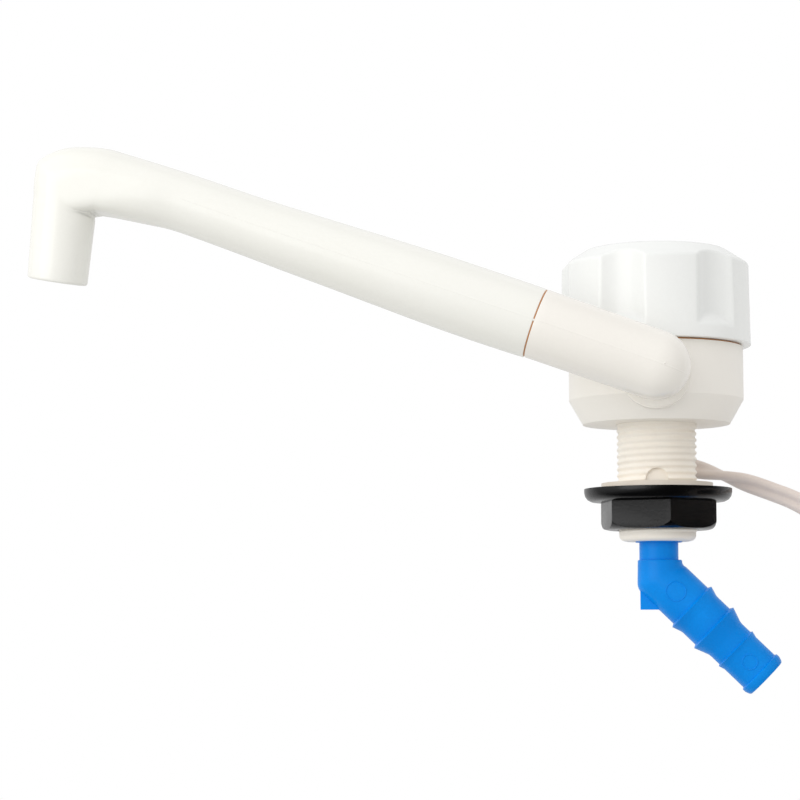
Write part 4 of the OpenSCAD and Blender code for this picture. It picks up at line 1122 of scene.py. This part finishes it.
def make_floor():
    """A plain pale floor below the object, which lights it from below but isn't mirrored in it."""
    deselect()
    bpy.ops.mesh.primitive_plane_add(size=FLOOR_SIZE, location=(0, 0, cad_low.z - FLOOR_DROP))
    floor = bpy.context.object
    floor.name = "floor"
    dress(floor, pale_ground("pale_floor"))
    floor.visible_glossy = False


def make_world():
    """A surround that is white to the camera; as light and in reflections it falls off to one side."""
    world = bpy.data.worlds.new("studio")
    bpy.context.scene.world = world
    world.use_nodes = True
    tree = world.node_tree
    tree.nodes.clear()
    way = add_node(tree, "ShaderNodeTexCoord").outputs["Generated"]
    toward, behind = (add_node(tree, "ShaderNodeVectorMath", {"operation": "DOT_PRODUCT"}) for _ in range(2))
    for node, side in ((toward, BRIGHT_SIDE), (behind, BACKDROP)):
        tree.links.new(way, node.inputs[0])
        node.inputs[1].default_value = side
    facing = {"Value": toward.outputs["Value"]}
    light = add_node(tree, "ShaderNodeMapRange", {"From Min": -1, "From Max": 1, "To Min": ROOM_LIGHT[0],
                                                  "To Max": ROOM_LIGHT[1]}, facing)
    gloss = add_node(tree, "ShaderNodeMapRange", {"From Min": GLOSS_COSINES[0], "From Max": GLOSS_COSINES[1],
                                                  "To Min": ROOM_GLOSS[0], "To Max": ROOM_GLOSS[1]}, facing)
    back = add_node(tree, "ShaderNodeMapRange",
                    {"From Min": BACKDROP_COSINES[0], "From Max": BACKDROP_COSINES[1],
                     "To Max": BACKDROP_GLOSS}, {"Value": behind.outputs["Value"]})
    mirrored = add_node(tree, "ShaderNodeMath", {"operation": "MAXIMUM"})
    tree.links.new(gloss.outputs["Result"], mirrored.inputs[0])
    tree.links.new(back.outputs["Result"], mirrored.inputs[1])
    rays = add_node(tree, "ShaderNodeLightPath")
    lit = add_node(tree, "ShaderNodeMapRange", links={"Value": rays.outputs["Is Glossy Ray"],
                                                      "To Min": light.outputs["Result"],
                                                      "To Max": mirrored.outputs["Value"]})
    straight = add_node(tree, "ShaderNodeMath", {"operation": "MAXIMUM"})
    tree.links.new(rays.outputs["Is Camera Ray"], straight.inputs[0])
    tree.links.new(rays.outputs["Is Transmission Ray"], straight.inputs[1])
    strength = add_node(tree, "ShaderNodeMapRange", {"To Max": 1}, {"Value": straight.outputs["Value"],
                                                                    "To Min": lit.outputs["Result"]})
    sky = add_node(tree, "ShaderNodeBackground", {"Color": (1, 1, 1, 1)},
                   {"Strength": strength.outputs["Result"]})
    add_node(tree, "ShaderNodeOutputWorld", links={"Surface": sky.outputs["Background"]})


def add_lamp(name, place, aim, size, watts):
    """A square soft box at a place, in metres, turned to a point on the object."""
    data = bpy.data.lights.new(name, "AREA")
    data.shape = "SQUARE"
    data.size = size
    data.energy = watts
    lamp = bpy.data.objects.new(name, data)
    lamp.location = place
    lamp.rotation_euler = (Vector(aim) - Vector(place)).to_track_quat("-Z", "Y").to_euler()
    bpy.context.scene.collection.objects.link(lamp)


make_floor()
make_world()
add_lamp("key_box", place=(-0.85, -1.05, 0.3), aim=(-0.05, 0, 0.02), size=1.1, watts=5.5)
bpy.context.scene.view_settings.view_transform = "Standard"
